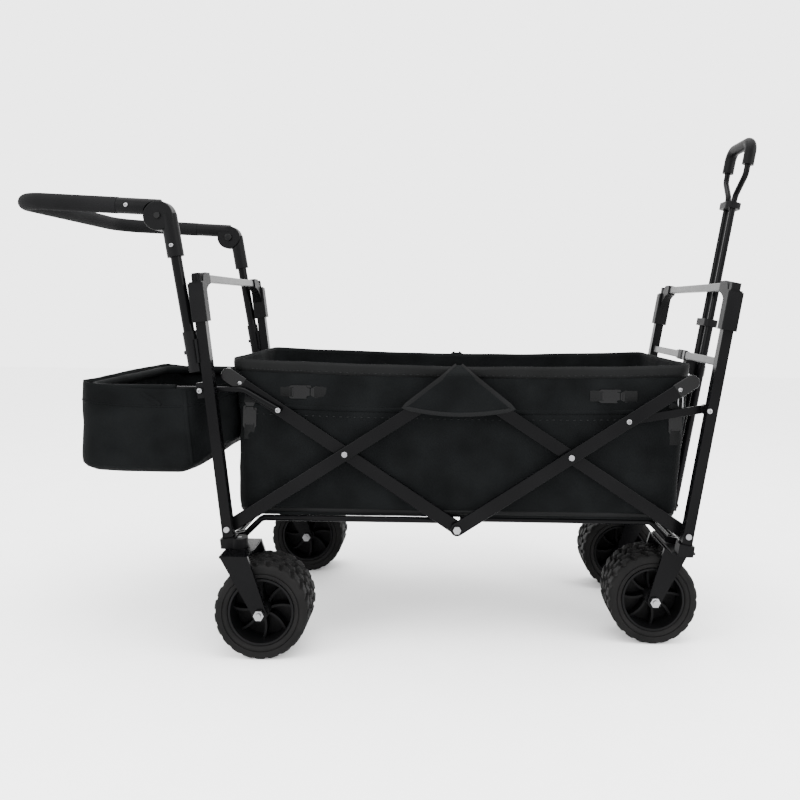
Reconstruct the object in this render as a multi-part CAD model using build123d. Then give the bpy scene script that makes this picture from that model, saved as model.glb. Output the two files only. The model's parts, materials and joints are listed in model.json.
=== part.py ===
"""Folding camp wagon with a rear push handle, a front pull handle and a rear storage bag.

Millimetres, +Z up, Z = 0 is the ground. +X points to the front, where the pull handle is, and +Y
to the wagon's left. Everything is laid out from the centre of the scissor frame; at the end the
whole wagon is moved so that X = 0 is the middle of its length.
"""
import os
from math import atan2, cos, degrees, hypot, radians, sin

from build123d import *

# ---- overall sizes ---------------------------------------------------------------------------
ARM = 265.0              # scissor bar, from its middle pivot to an end pivot
OPEN_ANGLE = 32.85        # a scissor bar's slope when the wagon is open, degrees
PIVOT_Z = 232.0          # height of the lower bar pivots
POST_Y = 246.0           # centre of the posts, from the middle plane
REAR_LEAN = 0.146       # how far the rear posts lean back, per unit of height
FRONT_LEAN = 0.184       # how far the front posts lean forward, per unit of height
REAR_POST_UP = 480.0     # rear post above the lower pivot, along the post
FRONT_POST_UP = 480.0
REAR_POST_DOWN = 33.0    # rear post below the lower pivot, along the post
FRONT_POST_DOWN = 33.0

# ---- sections and fits -----------------------------------------------------------------------
POST = 20.0              # square post tube
POST_WALL = 1.5
BAR_W = 26.0             # scissor bar, width in its own plane
BAR_T = 9.0              # scissor bar, thickness across the wagon
BAR_WALL = 1.5
BAR_EDGE = 2.0           # rounding along the bars
TOP_TIP = 14.0           # bar beyond the place above its end frame's lower pivot
LAYER_GAP = 1.0          # between the two layers of bars
POST_GAP = 2.5           # between the outer bars and the posts
PIN_R = 4.0              # pivot rivets and bolts
RUN_FIT = 0.06           # radial clearance of a turning pin
SLIDE_FIT = 0.3          # radial clearance of a sliding tube
SEAT = 0.2               # face to face clearance of turning pieces
SNUG = 0.05              # clearance of a cap or sleeve that does not move
HEAD_R, HEAD_H = 6.0, 3.0
LOW_NUT_R = 8.0          # nut on the bottom middle pivot, over its corners

# ---- wheels ----------------------------------------------------------------------------------
WHEEL_R = 89.0
WHEEL_W = 98.0
RIM_R = 62.0
RIM_WALL = 4.0
TYRE_EDGE = 9.0          # rounding of the tyre's corners
HUB_R = 15.0
HUB_W = 84.0
AXLE_R = 5.0
BUSH_R = 8.0
BUSH_L = 14.0
SPOKES = 8
SPOKE_T = 4.5
SPOKE_W = 44.0
SPOKE_BOW = 5.0
WEB_T = 3.0              # closed disc in the middle of a rim
FORK_GAP = 6.5           # tyre side to fork plate
FORK_T = 3.0
FORK_TOP_W = 53.0
FORK_END_R = 14.0
FORK_LIP = 4.0
PLATE_T = 4.0
REAR_PLATE_Z = 196.0     # top of the swivel fork's top plate
FRONT_PLATE_Z = 194.0
REAR_TRAIL = 55.0        # swivel axis to axle
FRONT_TRAIL = 45.0
SWIVEL_IN = 22.0         # swivel axis in front of the rear bar pivot
FRONT_WHEEL_Y = 149.0
NUT_R, NUT_T = 10.0, 7.0
KINGPIN_R = 5.0
NECK_R = 17.0

# ---- end frames ------------------------------------------------------------------------------
SLEEVE = 30.0            # outside of the moulded brackets round the posts
SLEEVE_H = 76.0
HORN_T = 18.0
HORN_REACH = 62.0        # post centre to the end of the bracket's curved horn
HORN_POCKET = 20.0
ARCH_RISE = 12.0         # arch bar centre above the post's end
ARCH_H, ARCH_D, ARCH_WALL = 16.0, 12.0, 1.2
FOOT_TOP = 16.0          # foot casting ends this far below the bar pivot
FOOT_ARM_H = 5.5
CROSS_DOWN = 26.0        # bottom cross tube below the bar pivot
CROSS_R = 6.0
MID_BAR_UP = 341.0       # lower front crossbar above the bar pivot
MID_BAR_H, MID_BAR_D = 16.0, 8.0
SPLICE_L, SPLICE_WALL = 60.0, 1.5

# ---- links, base tubes and bag frame ---------------------------------------------------------
LINK_TUBE_R = 5.5
LINK_END = 157.0         # rear link end on the bar, from the middle pivot
BAG_PIVOT_UP = 273.0     # bag frame pivot above the lower pivot, along the post
BAG_PIVOT_OUT = 17.0     # bag frame pivot behind the post's centre
BAG_TUBE_BACK = 234.0    # bag frame pivot to its rear tube
BAG_TUBE_BEND = 48.0
FRONT_LINK_END = 133.0
FRONT_LINK_UP = 245.0
FRONT_LINK_IN = 6.0
LINK_BAR_W, LINK_BAR_T = 16.0, 5.0
BASE_R = 6.0
BASE_PIVOT_IN = 24.0     # base tube pivot in front of the lower pivot
BASE_PIVOT_DOWN = 22.0   # base tube pivot below the lower pivot
BASE_REST = 0.5          # between a base tube and the support pin under its end
REAR_BASE_Y = 203.0
FRONT_BASE_Y = 189.0
BASE_TIP_GAP = 6.0

# ---- push handle -----------------------------------------------------------------------------
HANDLE_LEAN = 0.196
SOCKET_UP = 350.0        # socket centre above the lower pivot, along the post
SOCKET_BACK = 25.0       # socket axis behind the post's centre
SOCKET_R, SOCKET_L = 13.0, 80.0
UPRIGHT_R = 10.5
TUBE_WALL = 1.5
HINGE_UP = 272.0         # elbow axis above the socket centre, along the upright
ELBOW_R = 29.0
ELBOW_IN = 17.0          # elbow axis behind the upright's axis, and below the grip arm's
ELBOW_T = 15.0
SLEEVE_R = 16.0
LOWER_SLEEVE_L = 84.0
UPPER_SLEEVE_L = 83.0
GRIP_RISE = 2.3          # slope of the grip's arms, degrees
GRIP_LENGTH = 288.0
GRIP_TUBE_R = 11.0
FOAM_R = 16.5
GRIP_BEND = 62.0
BUTTON_R, BUTTON_PROUD, BUTTON_TRAVEL = 9.0, 4.0, 3.0
LATCH_R, LATCH_PROUD = 4.0, 3.0

# ---- pull handle -----------------------------------------------------------------------------
PULL_LEAN = 0.19
PULL_AHEAD = 39.0        # handle pivot in front of the lower bar pivot
PULL_UP = 5.0
PULL_TUBE_R, PULL_SPACING = 8.5, 41.0
PULL_OUTER_L = 414.0
PULL_FOOT = 14.0
CLAMP_L, CLAMP_D, CLAMP_W = 16.0, 30.0, 72.0
LEG_R, LEG_WALL = 6.5, 1.0
LEG_END = 788.0          # upper end of the legs inside the grip, along the handle
LEG_INSERT = 122.0       # leg inside the outer tube in the drawn-out handle
RING_UP = 671.0
RING_L, RING_D, RING_W = 14.0, 34.0, 62.0
LEG_SPREAD_LOW = 700.0   # the legs start to spread here, along the handle
LEG_SPREAD_HIGH = 742.0
GRIP_BAR_UP = 816.0      # middle of the grip's cross bar, along the handle
GRIP_BAR_R = 12.5
GRIP_HALF_W = 61.0       # middle plane to the grip's side, bar centre
GRIP_FOOT_UP = 764.0
GRIP_BAR_BEND = 24.0
CLIP_UP = 302.0          # clip centre above the handle pivot, along the handle
CLIP_H, CLIP_W, CLIP_PRONG = 26.0, 24.0, 15.0

# ---- fabric ----------------------------------------------------------------------------------
TUB_FLOOR_Z = 253.0
TUB_RIM_Z = 553.0
TUB_Y = 209.5
TUB_REAR_IN = 8.0        # tub's rear wall in front of the lower pivot
TUB_FRONT_IN = 8.0
TUB_FRONT_FLARE = 24.0
TUB_WALL = 3.0
MAT_T, MAT_GAP, MAT_SIDE = 12.0, 4.0, 8.0
MAT_PANELS = 4
BAG_Y = 212.0
BAG_DEPTH = 166.0        # below the bag frame pivot
BAG_WALL = 3.0
BAG_TUBE_CLEAR = 9.0
BUCKLE_L, BUCKLE_H, BUCKLE_T = 62.0, 27.0, 4.7
SIDE_BUCKLE_IN = 137.0   # lying buckles, from the lower pivots
SIDE_BUCKLE_UP = 263.0
REAR_CORNER_BUCKLE_IN = 30.0
FRONT_CORNER_BUCKLE_IN = 15.0
CORNER_BUCKLE_UP = 220.0

# ---- places worked out from the sizes above --------------------------------------------------
SLOPE = radians(OPEN_ANGLE)
HALF_SPAN = 2 * ARM * cos(SLOPE)
TOP_Z = PIVOT_Z + 2 * ARM * sin(SLOPE)
MID_X, MID_Z = HALF_SPAN / 2, (PIVOT_Z + TOP_Z) / 2
POST_FACE = POST_Y - POST / 2
OUTER_Y = POST_FACE - POST_GAP - BAR_T / 2
INNER_Y = OUTER_Y - BAR_T - LAYER_GAP
HOLE_R = PIN_R + RUN_FIT


def unit(x, z):
    """A direction in the X-Z plane, of length 1."""
    return x / hypot(x, z), z / hypot(x, z)


def post_point(end, along, ahead=0.0):
    """X and Z of a point on a post's axis. end is -1 at the rear and 1 at the front; ahead is
    measured square to the post, away from the wagon's middle."""
    lean = REAR_LEAN if end < 0 else FRONT_LEAN
    ux, uz = unit(lean, 1)
    return end * (HALF_SPAN + along * ux + ahead * uz), PIVOT_Z + along * uz - ahead * ux


def post_plane(end, y=0.0):
    """Local frame of a post: origin at the lower pivot, local Z up the post, local Y across."""
    lean = end * (REAR_LEAN if end < 0 else FRONT_LEAN)
    return Plane(origin=(end * HALF_SPAN, y, PIVOT_Z), x_dir=(1, 0, -lean), z_dir=(lean, 0, 1))


def pair(*solids):
    """The given left-hand solids and their right-hand mirror images."""
    return [*solids, *[mirror(s, about=Plane.XZ) for s in solids]]


def slab(face, y_low, y_high):
    """A flat outline drawn in X and Z, as a plate between two distances from the middle plane."""
    plane = Plane(origin=(0, y_high, 0), x_dir=(1, 0, 0), z_dir=(0, -1, 0))
    return extrude(plane * face, amount=y_high - y_low)


def cross_pin(x, z, y_low, y_high, radius):
    """A round pin that lies across the wagon."""
    return Pos(x, (y_low + y_high) / 2, z) * Rot(90, 0, 0) * Cylinder(radius, y_high - y_low)


def rod(start, end, radius):
    """A round rod between two points."""
    a, b = Vector(*start), Vector(*end)
    return Plane(origin=(a + b) / 2, z_dir=b - a) * Cylinder(radius, (b - a).length)


def slot(a, b, width):
    """A round-ended outline between two points of the X-Z plane."""
    length = hypot(b[0] - a[0], b[1] - a[1])
    turn = degrees(atan2(b[1] - a[1], b[0] - a[0]))
    return Pos((a[0] + b[0]) / 2, (a[1] + b[1]) / 2) * Rot(0, 0, turn) * SlotCenterToCenter(length, width)


def bent_rod(points, bend, radius):
    """A round rod along straight runs joined by round bends."""
    path = FilletPolyline(*points, radius=bend)
    return sweep((path ^ 0) * Circle(radius), path=path)


def rivet(x, z, y_low, y_high, washer_y=None):
    """A headed pivot pin through everything between y_low and y_high, with a spacer washer."""
    pin = cross_pin(x, z, y_low - SEAT - HEAD_H, y_high + SEAT + HEAD_H, PIN_R)
    for side, face in ((-1, y_low - SEAT), (1, y_high + SEAT)):
        head = cross_pin(x, z, *sorted((face, face + side * HEAD_H)), HEAD_R)
        far = head.faces().sort_by(Axis.Y)[0 if side < 0 else -1]
        pin += fillet(far.edges(), HEAD_H * 0.6)
    if washer_y:
        pin += cross_pin(x, z, *washer_y, HEAD_R)
    return pin


def hex_nut(x, z, y_low, y_high, radius=NUT_R):
    """A hexagon head or nut whose axis lies across the wagon."""
    return slab(Pos(x, z) * RegularPolygon(radius, 6), y_low, y_high)


# ---- scissor bars ----------------------------------------------------------------------------
def scissor_bar(a, b, y, holes):
    """A flat-oval tube bar from pivot a to pivot b, closed and round at both ends."""
    body = slab(slot(a, b, BAR_W), y - BAR_T / 2, y + BAR_T / 2)
    flat_faces = body.faces().filter_by(Axis.Y)
    body = fillet(flat_faces.edges(), BAR_EDGE)
    ux, uz = unit(b[0] - a[0], b[1] - a[1])
    length, inset = hypot(b[0] - a[0], b[1] - a[1]), BAR_W * 0.8
    stops = [0.0, length - ARM if a[1] > TOP_Z else ARM, length]
    for low, high in zip(stops, stops[1:]):
        hollow = high - low - 2 * inset
        middle = (low + high) / 2
        core = Rectangle(hollow, BAR_W - 2 * BAR_WALL)
        turn = Rot(0, 0, degrees(atan2(uz, ux)))
        outline = Pos(a[0] + ux * middle, a[1] + uz * middle) * turn * core
        body -= slab(outline, y - BAR_T / 2 + BAR_WALL, y + BAR_T / 2 - BAR_WALL)
    for x, z in holes:
        body -= cross_pin(x, z, y - BAR_T, y + BAR_T, HOLE_R)
    return body


LOW_REAR, LOW_FRONT = (-HALF_SPAN, PIVOT_Z), (HALF_SPAN, PIVOT_Z)
TIP_X, TIP_Z = HALF_SPAN + TOP_TIP * cos(SLOPE), TOP_Z + TOP_TIP * sin(SLOPE)
TOP_REAR, TOP_FRONT = (-TIP_X, TIP_Z), (TIP_X, TIP_Z)
TOP_MID, LOW_MID = (0.0, TOP_Z), (0.0, PIVOT_Z)
CROSS_REAR, CROSS_FRONT = (-MID_X, MID_Z), (MID_X, MID_Z)
OUTER = (OUTER_Y - BAR_T / 2, OUTER_Y + BAR_T / 2)
INNER = (INNER_Y - BAR_T / 2, INNER_Y + BAR_T / 2)
BETWEEN = (INNER[1] + SEAT, OUTER[0] - SEAT)


def top_cap(corner, middle, y):
    """Moulded cap over a bar's free top end, with a round nose."""
    ux, uz = unit(middle[0] - corner[0], middle[1] - corner[1])
    wall, side_wall, reach = 1.3, 0.5, 34.0
    outline = slot(corner, (corner[0] + ux * reach, corner[1] + uz * reach), BAR_W + 2 * wall)
    cap = slab(outline, y - BAR_T / 2 - side_wall, y + BAR_T / 2 + side_wall)
    cap = fillet(cap.faces().filter_by(Axis.Y).edges(), 1.6)
    end = (corner[0] + ux * ARM, corner[1] + uz * ARM)
    fit = slot(corner, end, BAR_W + 2 * SNUG)
    cap -= slab(fit, y - BAR_T / 2 - SNUG, y + BAR_T / 2 + SNUG)
    cut = (corner[0] + ux * (reach + BAR_W), corner[1] + uz * (reach + BAR_W))
    trim = Pos(*cut) * Rot(0, 0, degrees(atan2(uz, ux))) * Rectangle(2 * BAR_W, 3 * BAR_W)
    return cap - slab(trim, y - 2 * BAR_T, y + 2 * BAR_T)


def scissor_nodes():
    """The four pairs of bars, their pins and the caps on their free top ends."""
    nodes = {
        "rear_up_bars": pair(scissor_bar(LOW_REAR, TOP_MID, OUTER_Y, [LOW_REAR, CROSS_REAR, TOP_MID])),
        "rear_down_bars": pair(scissor_bar(TOP_REAR, LOW_MID, INNER_Y, [CROSS_REAR, LOW_MID])),
        "front_down_bars": pair(scissor_bar(TOP_MID, LOW_FRONT, INNER_Y, [TOP_MID, CROSS_FRONT, LOW_FRONT])),
        "front_up_bars": pair(scissor_bar(LOW_MID, TOP_FRONT, OUTER_Y, [LOW_MID, CROSS_FRONT])),
        "rear_top_caps": pair(top_cap(TOP_REAR, CROSS_REAR, INNER_Y)),
        "front_top_caps": pair(top_cap(TOP_FRONT, CROSS_FRONT, OUTER_Y)),
    }
    support = cross_pin(*LOW_MID, FRONT_BASE_Y - BASE_R, INNER[0] - SEAT - HEAD_H, PIN_R)
    bottom = rivet(*LOW_MID, INNER[0], OUTER[1], BETWEEN) + support
    bottom += hex_nut(*LOW_MID, OUTER[1] + SEAT, OUTER[1] + SEAT + HEAD_H + 2, LOW_NUT_R)
    nodes["rear_down_pins"] = pair(rivet(*CROSS_REAR, INNER[0], OUTER[1], BETWEEN), bottom)
    nodes["front_down_pins"] = pair(
        rivet(*TOP_MID, INNER[0], OUTER[1], BETWEEN), rivet(*CROSS_FRONT, INNER[0], OUTER[1], BETWEEN)
    )
    return nodes


# ---- end frames ------------------------------------------------------------------------------
def post(end):
    """One square post tube with a hole for its lower bar pivot."""
    down, up = (REAR_POST_DOWN, REAR_POST_UP) if end < 0 else (FRONT_POST_DOWN, FRONT_POST_UP)
    middle, length = (up - down) / 2, up + down
    tube = Box(POST, POST, length) - Box(POST - 2 * POST_WALL, POST - 2 * POST_WALL, 2 * length)
    tube = post_plane(end, POST_Y) * (Pos(0, 0, middle) * tube)
    return tube - cross_pin(end * HALF_SPAN, PIVOT_Z, POST_Y - POST, POST_Y + POST, HOLE_R)


def corner_bracket(end):
    """Moulded sleeve at the top of a post, with a curved horn that holds the arch bar."""
    up = REAR_POST_UP if end < 0 else FRONT_POST_UP
    sleeve = Pos(0, 0, up - SLEEVE_H / 2 + 1) * Box(SLEEVE, SLEEVE, SLEEVE_H)
    sleeve = fillet(sleeve.edges().filter_by(Axis.Z), 3)
    inner, low, high = SLEEVE / 2 - 2, up - SLEEVE_H + 6, up + ARCH_RISE
    half = ARCH_H / 2 + 3
    outline = make_face(
        [
            ThreePointArc((inner, low), (inner + 15, high - half - 16), (HORN_REACH, high - half)),
            Line((HORN_REACH, high - half), (HORN_REACH, high + half)),
            Line((HORN_REACH, high + half), (inner + 18, high + half)),
            ThreePointArc((inner + 18, high + half), (inner + 5, up + 14), (inner, up)),
            Line((inner, up), (inner, low)),
        ]
    )
    horn_plane = Plane(origin=(-HORN_T / 2, 0, 0), x_dir=(0, -1, 0), z_dir=(-1, 0, 0))
    horn = extrude(horn_plane * outline, amount=-HORN_T)
    bracket = sleeve + horn
    opening = POST + 2 * SNUG
    bracket -= Pos(0, 0, up - SLEEVE_H) * Box(opening, opening, 2 * SLEEVE_H + 2 * SNUG)
    pocket = Box(ARCH_D + 2 * SNUG, HORN_POCKET, ARCH_H + 2 * SNUG)
    bracket -= Pos(0, -HORN_REACH + HORN_POCKET / 2, high) * pocket
    return post_plane(end, POST_Y) * bracket


def post_top(end):
    """A ribbed round knob on a rear post, or a square plug on a front one."""
    up = (REAR_POST_UP if end < 0 else FRONT_POST_UP) + 1 + SNUG
    plate = Pos(0, 0, up + 1.5) * Box(SLEEVE - 6, SLEEVE - 6, 3)
    if end < 0:
        top = Pos(0, 0, up + 11) * Cylinder(8, 18)
        for turn in range(0, 360, 30):
            top += Rot(0, 0, turn) * (Pos(8, 0, up + 10) * Cylinder(1.2, 14))
    else:
        top = fillet((Pos(0, 0, up + 10) * Box(18, 18, 16)).edges().filter_by(Axis.Z), 3)
    return post_plane(end, POST_Y) * (plate + top)


def arch_bar(end):
    """Flat tube between the two corner brackets of an end."""
    up = (REAR_POST_UP if end < 0 else FRONT_POST_UP) + ARCH_RISE
    length = 2 * (POST_Y - HORN_REACH + HORN_POCKET - 1)
    bar = fillet(Box(ARCH_D, length, ARCH_H).edges().filter_by(Axis.Y), 2.5)
    bar -= Box(ARCH_D - 2 * ARCH_WALL, 2 * length, ARCH_H - 2 * ARCH_WALL)
    return post_plane(end) * (Pos(0, 0, up) * bar)


def middle_bar():
    """Flat lower crossbar between the front posts, and the sleeve that joins its two halves."""
    length = 2 * (POST_FACE - SNUG)
    bar = fillet(Box(MID_BAR_D, length, MID_BAR_H).edges().filter_by(Axis.Y), 2)
    bar -= Box(MID_BAR_D - 2 * TUBE_WALL, 2 * length, MID_BAR_H - 2 * TUBE_WALL)
    splice = Box(MID_BAR_D + 2 * SPLICE_WALL, SPLICE_L, MID_BAR_H + 2 * SPLICE_WALL)
    splice -= Box(MID_BAR_D + 2 * SNUG, 2 * SPLICE_L, MID_BAR_H + 2 * SNUG)
    return [post_plane(1) * (Pos(0, 0, MID_BAR_UP) * solid) for solid in (bar, splice)]


def cross_tube(end, along, radius, reach, wall):
    """Round tube across the wagon at a height on the posts."""
    x, z = post_point(end, along)
    tube = cross_pin(x, z, -reach, reach, radius)
    return tube - cross_pin(x, z, -2 * reach, 2 * reach, radius - wall)


def rear_foot():
    """Casting at the bottom of a rear post: a sleeve and a round neck for the kingpin."""
    height = REAR_POST_DOWN + 3 - FOOT_TOP
    sleeve = Pos(0, 0, -(REAR_POST_DOWN + 3 + FOOT_TOP) / 2) * Box(SLEEVE, SLEEVE, height)
    sleeve = post_plane(-1, POST_Y) * fillet(sleeve.edges().filter_by(Axis.Z), 3)
    neck_low, neck_high = REAR_PLATE_Z + SEAT * 2, PIVOT_Z - FOOT_TOP
    neck = Pos(SWIVEL_X, POST_Y, (neck_low + neck_high) / 2) * Cylinder(NECK_R, neck_high - neck_low)
    foot = sleeve + neck
    opening = POST + 2 * SNUG
    foot -= post_plane(-1, POST_Y) * (Pos(0, 0, 0) * Box(opening, opening, 2 * REAR_POST_DOWN + SNUG))
    foot -= Pos(SWIVEL_X, POST_Y, REAR_PLATE_Z) * Cylinder(KINGPIN_R + SNUG, 200)
    floor = Pos(SWIVEL_X, POST_Y, neck_low - 50) * Box(200, 200, 100)
    x, z = post_point(-1, -CROSS_DOWN)
    return foot - floor - cross_pin(x, z, POST_Y - 2 * SLEEVE, POST_Y - POST / 2, CROSS_R + SNUG)


def front_foot():
    """Casting at the bottom of a front post, with an arm that carries the fork inboard of it."""
    low = FRONT_PLATE_Z + SNUG
    sleeve = Pos(0, 0, -(FRONT_POST_DOWN + 6 + FOOT_TOP) / 2) * Box(
        SLEEVE, SLEEVE, FRONT_POST_DOWN + 6 - FOOT_TOP
    )
    sleeve = post_plane(1, POST_Y) * fillet(sleeve.edges().filter_by(Axis.Z), 3)
    inboard, outboard = FRONT_WHEEL_Y - WHEEL_W / 2, POST_Y
    arm = Pos(FORK_X, (inboard + outboard) / 2, low + FOOT_ARM_H / 2) * Box(
        FORK_TOP_W - 8, outboard - inboard, FOOT_ARM_H
    )
    foot = sleeve + fillet(arm.edges().filter_by(Axis.Y), 2)
    opening = POST + 2 * SNUG
    foot -= post_plane(1, POST_Y) * Box(opening, opening, 2 * FRONT_POST_DOWN + SNUG)
    foot -= Pos(FORK_X, POST_Y, low - 50) * Box(300, 600, 100)
    x, z = post_point(1, -CROSS_DOWN)
    return foot - cross_pin(x, z, POST_Y - 2 * SLEEVE, POST_Y - POST / 2, CROSS_R + SNUG)


SWIVEL_X = -HALF_SPAN + SWIVEL_IN
FORK_X = post_point(1, -FRONT_POST_DOWN)[0]
REAR_AXLE_X = SWIVEL_X + REAR_TRAIL
FRONT_AXLE_X = FORK_X - FRONT_TRAIL
BAG_PIVOT = post_point(-1, BAG_PIVOT_UP, BAG_PIVOT_OUT)
FRONT_LINK_PIVOT = post_point(1, FRONT_LINK_UP, -FRONT_LINK_IN)
BAG_LINK_Y = INNER[1] + LINK_TUBE_R + 4.5 * SEAT
LINK_BAR_Y = (OUTER[0] - 2.5 * SEAT - LINK_BAR_T, OUTER[0] - 2.5 * SEAT)
PULL_PIVOT = (HALF_SPAN + PULL_AHEAD, PIVOT_Z + PULL_UP)
BASE_PIVOT_X, BASE_PIVOT_Z = HALF_SPAN - BASE_PIVOT_IN, PIVOT_Z - BASE_PIVOT_DOWN
BASE_Z = PIVOT_Z + PIN_R + BASE_REST + BASE_R


def base_lugs(end, y):
    """Two ears on a bottom cross tube that hold a base tube's end between them."""
    x, z = post_point(end, -CROSS_DOWN)
    pivot = (end * BASE_PIVOT_X, BASE_PIVOT_Z)
    ears = []
    for side in (-1, 1):
        face = y + side * (BASE_R + SEAT)
        ears.append(slab(slot((x, z), pivot, 13), *sorted((face, face + side * 2.5))))
    pin = cross_pin(*pivot, y - BASE_R - SEAT - 2.5, y + BASE_R + SEAT + 2.5, PIN_R - 1)
    return ears[0] + ears[1] + pin


def bottom_frame(end):
    """Bottom cross tube with its base tube lugs, and at the front the pull handle's bracket."""
    frame = cross_tube(end, -CROSS_DOWN, CROSS_R, POST_Y - POST / 2 - 1, POST_WALL)
    x, z = post_point(end, -CROSS_DOWN)
    cavity = cross_pin(x, z, -POST_Y, POST_Y, CROSS_R - POST_WALL)
    for lug in pair(base_lugs(end, REAR_BASE_Y if end < 0 else FRONT_BASE_Y)):
        frame += lug - cavity
    if end > 0:
        half = PULL_SPACING / 2 - PULL_TUBE_R - 2
        frame += slab(slot((x, z), PULL_PIVOT, 22), -half, half) - cavity
        reach = PULL_SPACING / 2 + PULL_TUBE_R + 3
        frame += cross_pin(*PULL_PIVOT, -reach, reach, PIN_R)
        for side in (-1, 1):
            face = side * (reach + 0.5)
            frame += cross_pin(*PULL_PIVOT, *sorted((face - side, face + side * HEAD_H)), HEAD_R)
    return frame


def base_tube(end):
    """One folding base tube: a pivoted foot, a bend up and a level run to the middle."""
    y = REAR_BASE_Y if end < 0 else FRONT_BASE_Y
    rise = BASE_Z - BASE_PIVOT_Z
    path = [
        (end * BASE_PIVOT_X, y, BASE_PIVOT_Z),
        (end * (BASE_PIVOT_X - rise), y, BASE_Z),
        (end * BASE_TIP_GAP, y, BASE_Z),
    ]
    tube = bent_rod(path, 18, BASE_R) + Pos(*path[0]) * Sphere(BASE_R)
    hollow_start = (end * (BASE_PIVOT_X - rise - 30), y, BASE_Z)
    tube -= rod(hollow_start, path[2], BASE_R - POST_WALL)
    return tube - cross_pin(path[0][0], path[0][2], y - 2 * BASE_R, y + 2 * BASE_R, PIN_R - 1 + RUN_FIT)


def bag_tube():
    """U-shaped tube of the rear bag: its ends are links to the scissor bars, its back holds the bag."""
    link_x, link_z = BAG_LINK_BOLT
    pivot_x, pivot_z = BAG_PIVOT
    knee = (pivot_x + (link_x - pivot_x) * 0.52, pivot_z)
    back = pivot_x - BAG_TUBE_BACK
    left = [(link_x, BAG_LINK_Y, link_z), (knee[0], BAG_LINK_Y, knee[1]), (back, BAG_LINK_Y, pivot_z)]
    right = [(x, -y, z) for x, y, z in reversed(left)]
    bends = [30, BAG_TUBE_BEND, BAG_TUBE_BEND, 30]
    path = FilletPolyline(*left, *right, radius=bends)
    tube = sweep((path ^ 0) * Circle(LINK_TUBE_R), path=path)
    tube += Pos(*left[0]) * Sphere(LINK_TUBE_R) + Pos(*right[-1]) * Sphere(LINK_TUBE_R)
    for side in (-1, 1):
        y_low, y_high = sorted((side * (BAG_LINK_Y - 2 * LINK_TUBE_R), side * (BAG_LINK_Y + 2 * LINK_TUBE_R)))
        tube -= cross_pin(pivot_x, pivot_z, y_low, y_high, BAG_SCREW_R + RUN_FIT)
    return tube


def bag_bracket():
    """Ear behind a rear post with the screw that the bag tube turns on."""
    x, z = BAG_PIVOT
    face, post_x = BAG_LINK_Y + LINK_TUBE_R + SEAT, -POST / 2 - SNUG
    height = 30
    block = Box(BAG_PIVOT_OUT + 7 + post_x, POST_Y + 8 - face, height)
    middle = (post_x - (BAG_PIVOT_OUT + 7)) / 2
    centre_y = (POST_Y + 8 + face) / 2 - POST_Y
    ear = post_plane(-1, POST_Y) * (Pos(middle, centre_y, BAG_PIVOT_UP) * block)
    inner = BAG_LINK_Y - LINK_TUBE_R - SEAT
    screw = cross_pin(x, z, inner - 3, face + 1, BAG_SCREW_R)
    screw += cross_pin(x, z, inner - 3, inner, BAG_SCREW_R + 3)
    return ear + screw


def front_link():
    """Straight flat bar that ties a front scissor bar to the front post."""
    bar = slab(slot(FRONT_LINK_BOLT, FRONT_LINK_PIVOT, LINK_BAR_W), *LINK_BAR_Y)
    bar = fillet(bar.faces().filter_by(Axis.Y).edges(), 1)
    return bar - cross_pin(*FRONT_LINK_PIVOT, OUTER_Y - 20, OUTER_Y + 20, BAG_SCREW_R + RUN_FIT)


def front_link_lug():
    """Collar ear on the inner face of a front post, with the pin of the front link."""
    x, z = FRONT_LINK_PIVOT
    low, high = LINK_BAR_Y[1] + SEAT, POST_FACE - SNUG
    centre = post_point(1, FRONT_LINK_UP)
    lug = slab(slot((x, z), (centre[0] + 4, centre[1]), 20), low, high)
    pin = cross_pin(x, z, LINK_BAR_Y[0] - SEAT - 2, low + 1, BAG_SCREW_R)
    head = cross_pin(x, z, LINK_BAR_Y[0] - SEAT - 2, LINK_BAR_Y[0] - SEAT, BAG_SCREW_R + 3)
    return lug + pin + head


BAG_SCREW_R = 2.5
BAG_LINK_BOLT = (
    CROSS_REAR[0] - LINK_END * cos(SLOPE),
    CROSS_REAR[1] + LINK_END * sin(SLOPE),
)
FRONT_LINK_BOLT = (
    CROSS_FRONT[0] + FRONT_LINK_END * cos(SLOPE),
    CROSS_FRONT[1] + FRONT_LINK_END * sin(SLOPE),
)


# ---- wheels and forks ------------------------------------------------------------------------
def fork(top_x, plate_z, axle_x, y):
    """Stamped fork: a top plate and two tapered, lipped sides that hold the axle."""
    inner = WHEEL_W / 2 + FORK_GAP
    low = plate_z - PLATE_T
    half = FORK_TOP_W / 2
    shape = make_face(
        Polyline(
            (top_x - half, plate_z), (top_x + half, plate_z),
            (axle_x + FORK_END_R, WHEEL_R), (axle_x - FORK_END_R, WHEEL_R), close=True,
        )
    )
    shape += Pos(axle_x, WHEEL_R) * Circle(FORK_END_R)
    body = Pos(top_x, 0, low + PLATE_T / 2) * Box(FORK_TOP_W, 2 * (inner + FORK_T), PLATE_T)
    rim = shape - offset(shape, amount=-FORK_T)
    for side in (-1, 1):
        plate = slab(shape, *sorted((side * inner, side * (inner + FORK_T))))
        lip = slab(rim, *sorted((side * (inner - FORK_LIP), side * inner)))
        body += plate + lip
    body -= cross_pin(axle_x, WHEEL_R, -POST_Y, POST_Y, AXLE_R + SNUG)
    return Pos(0, y, 0) * body


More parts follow.
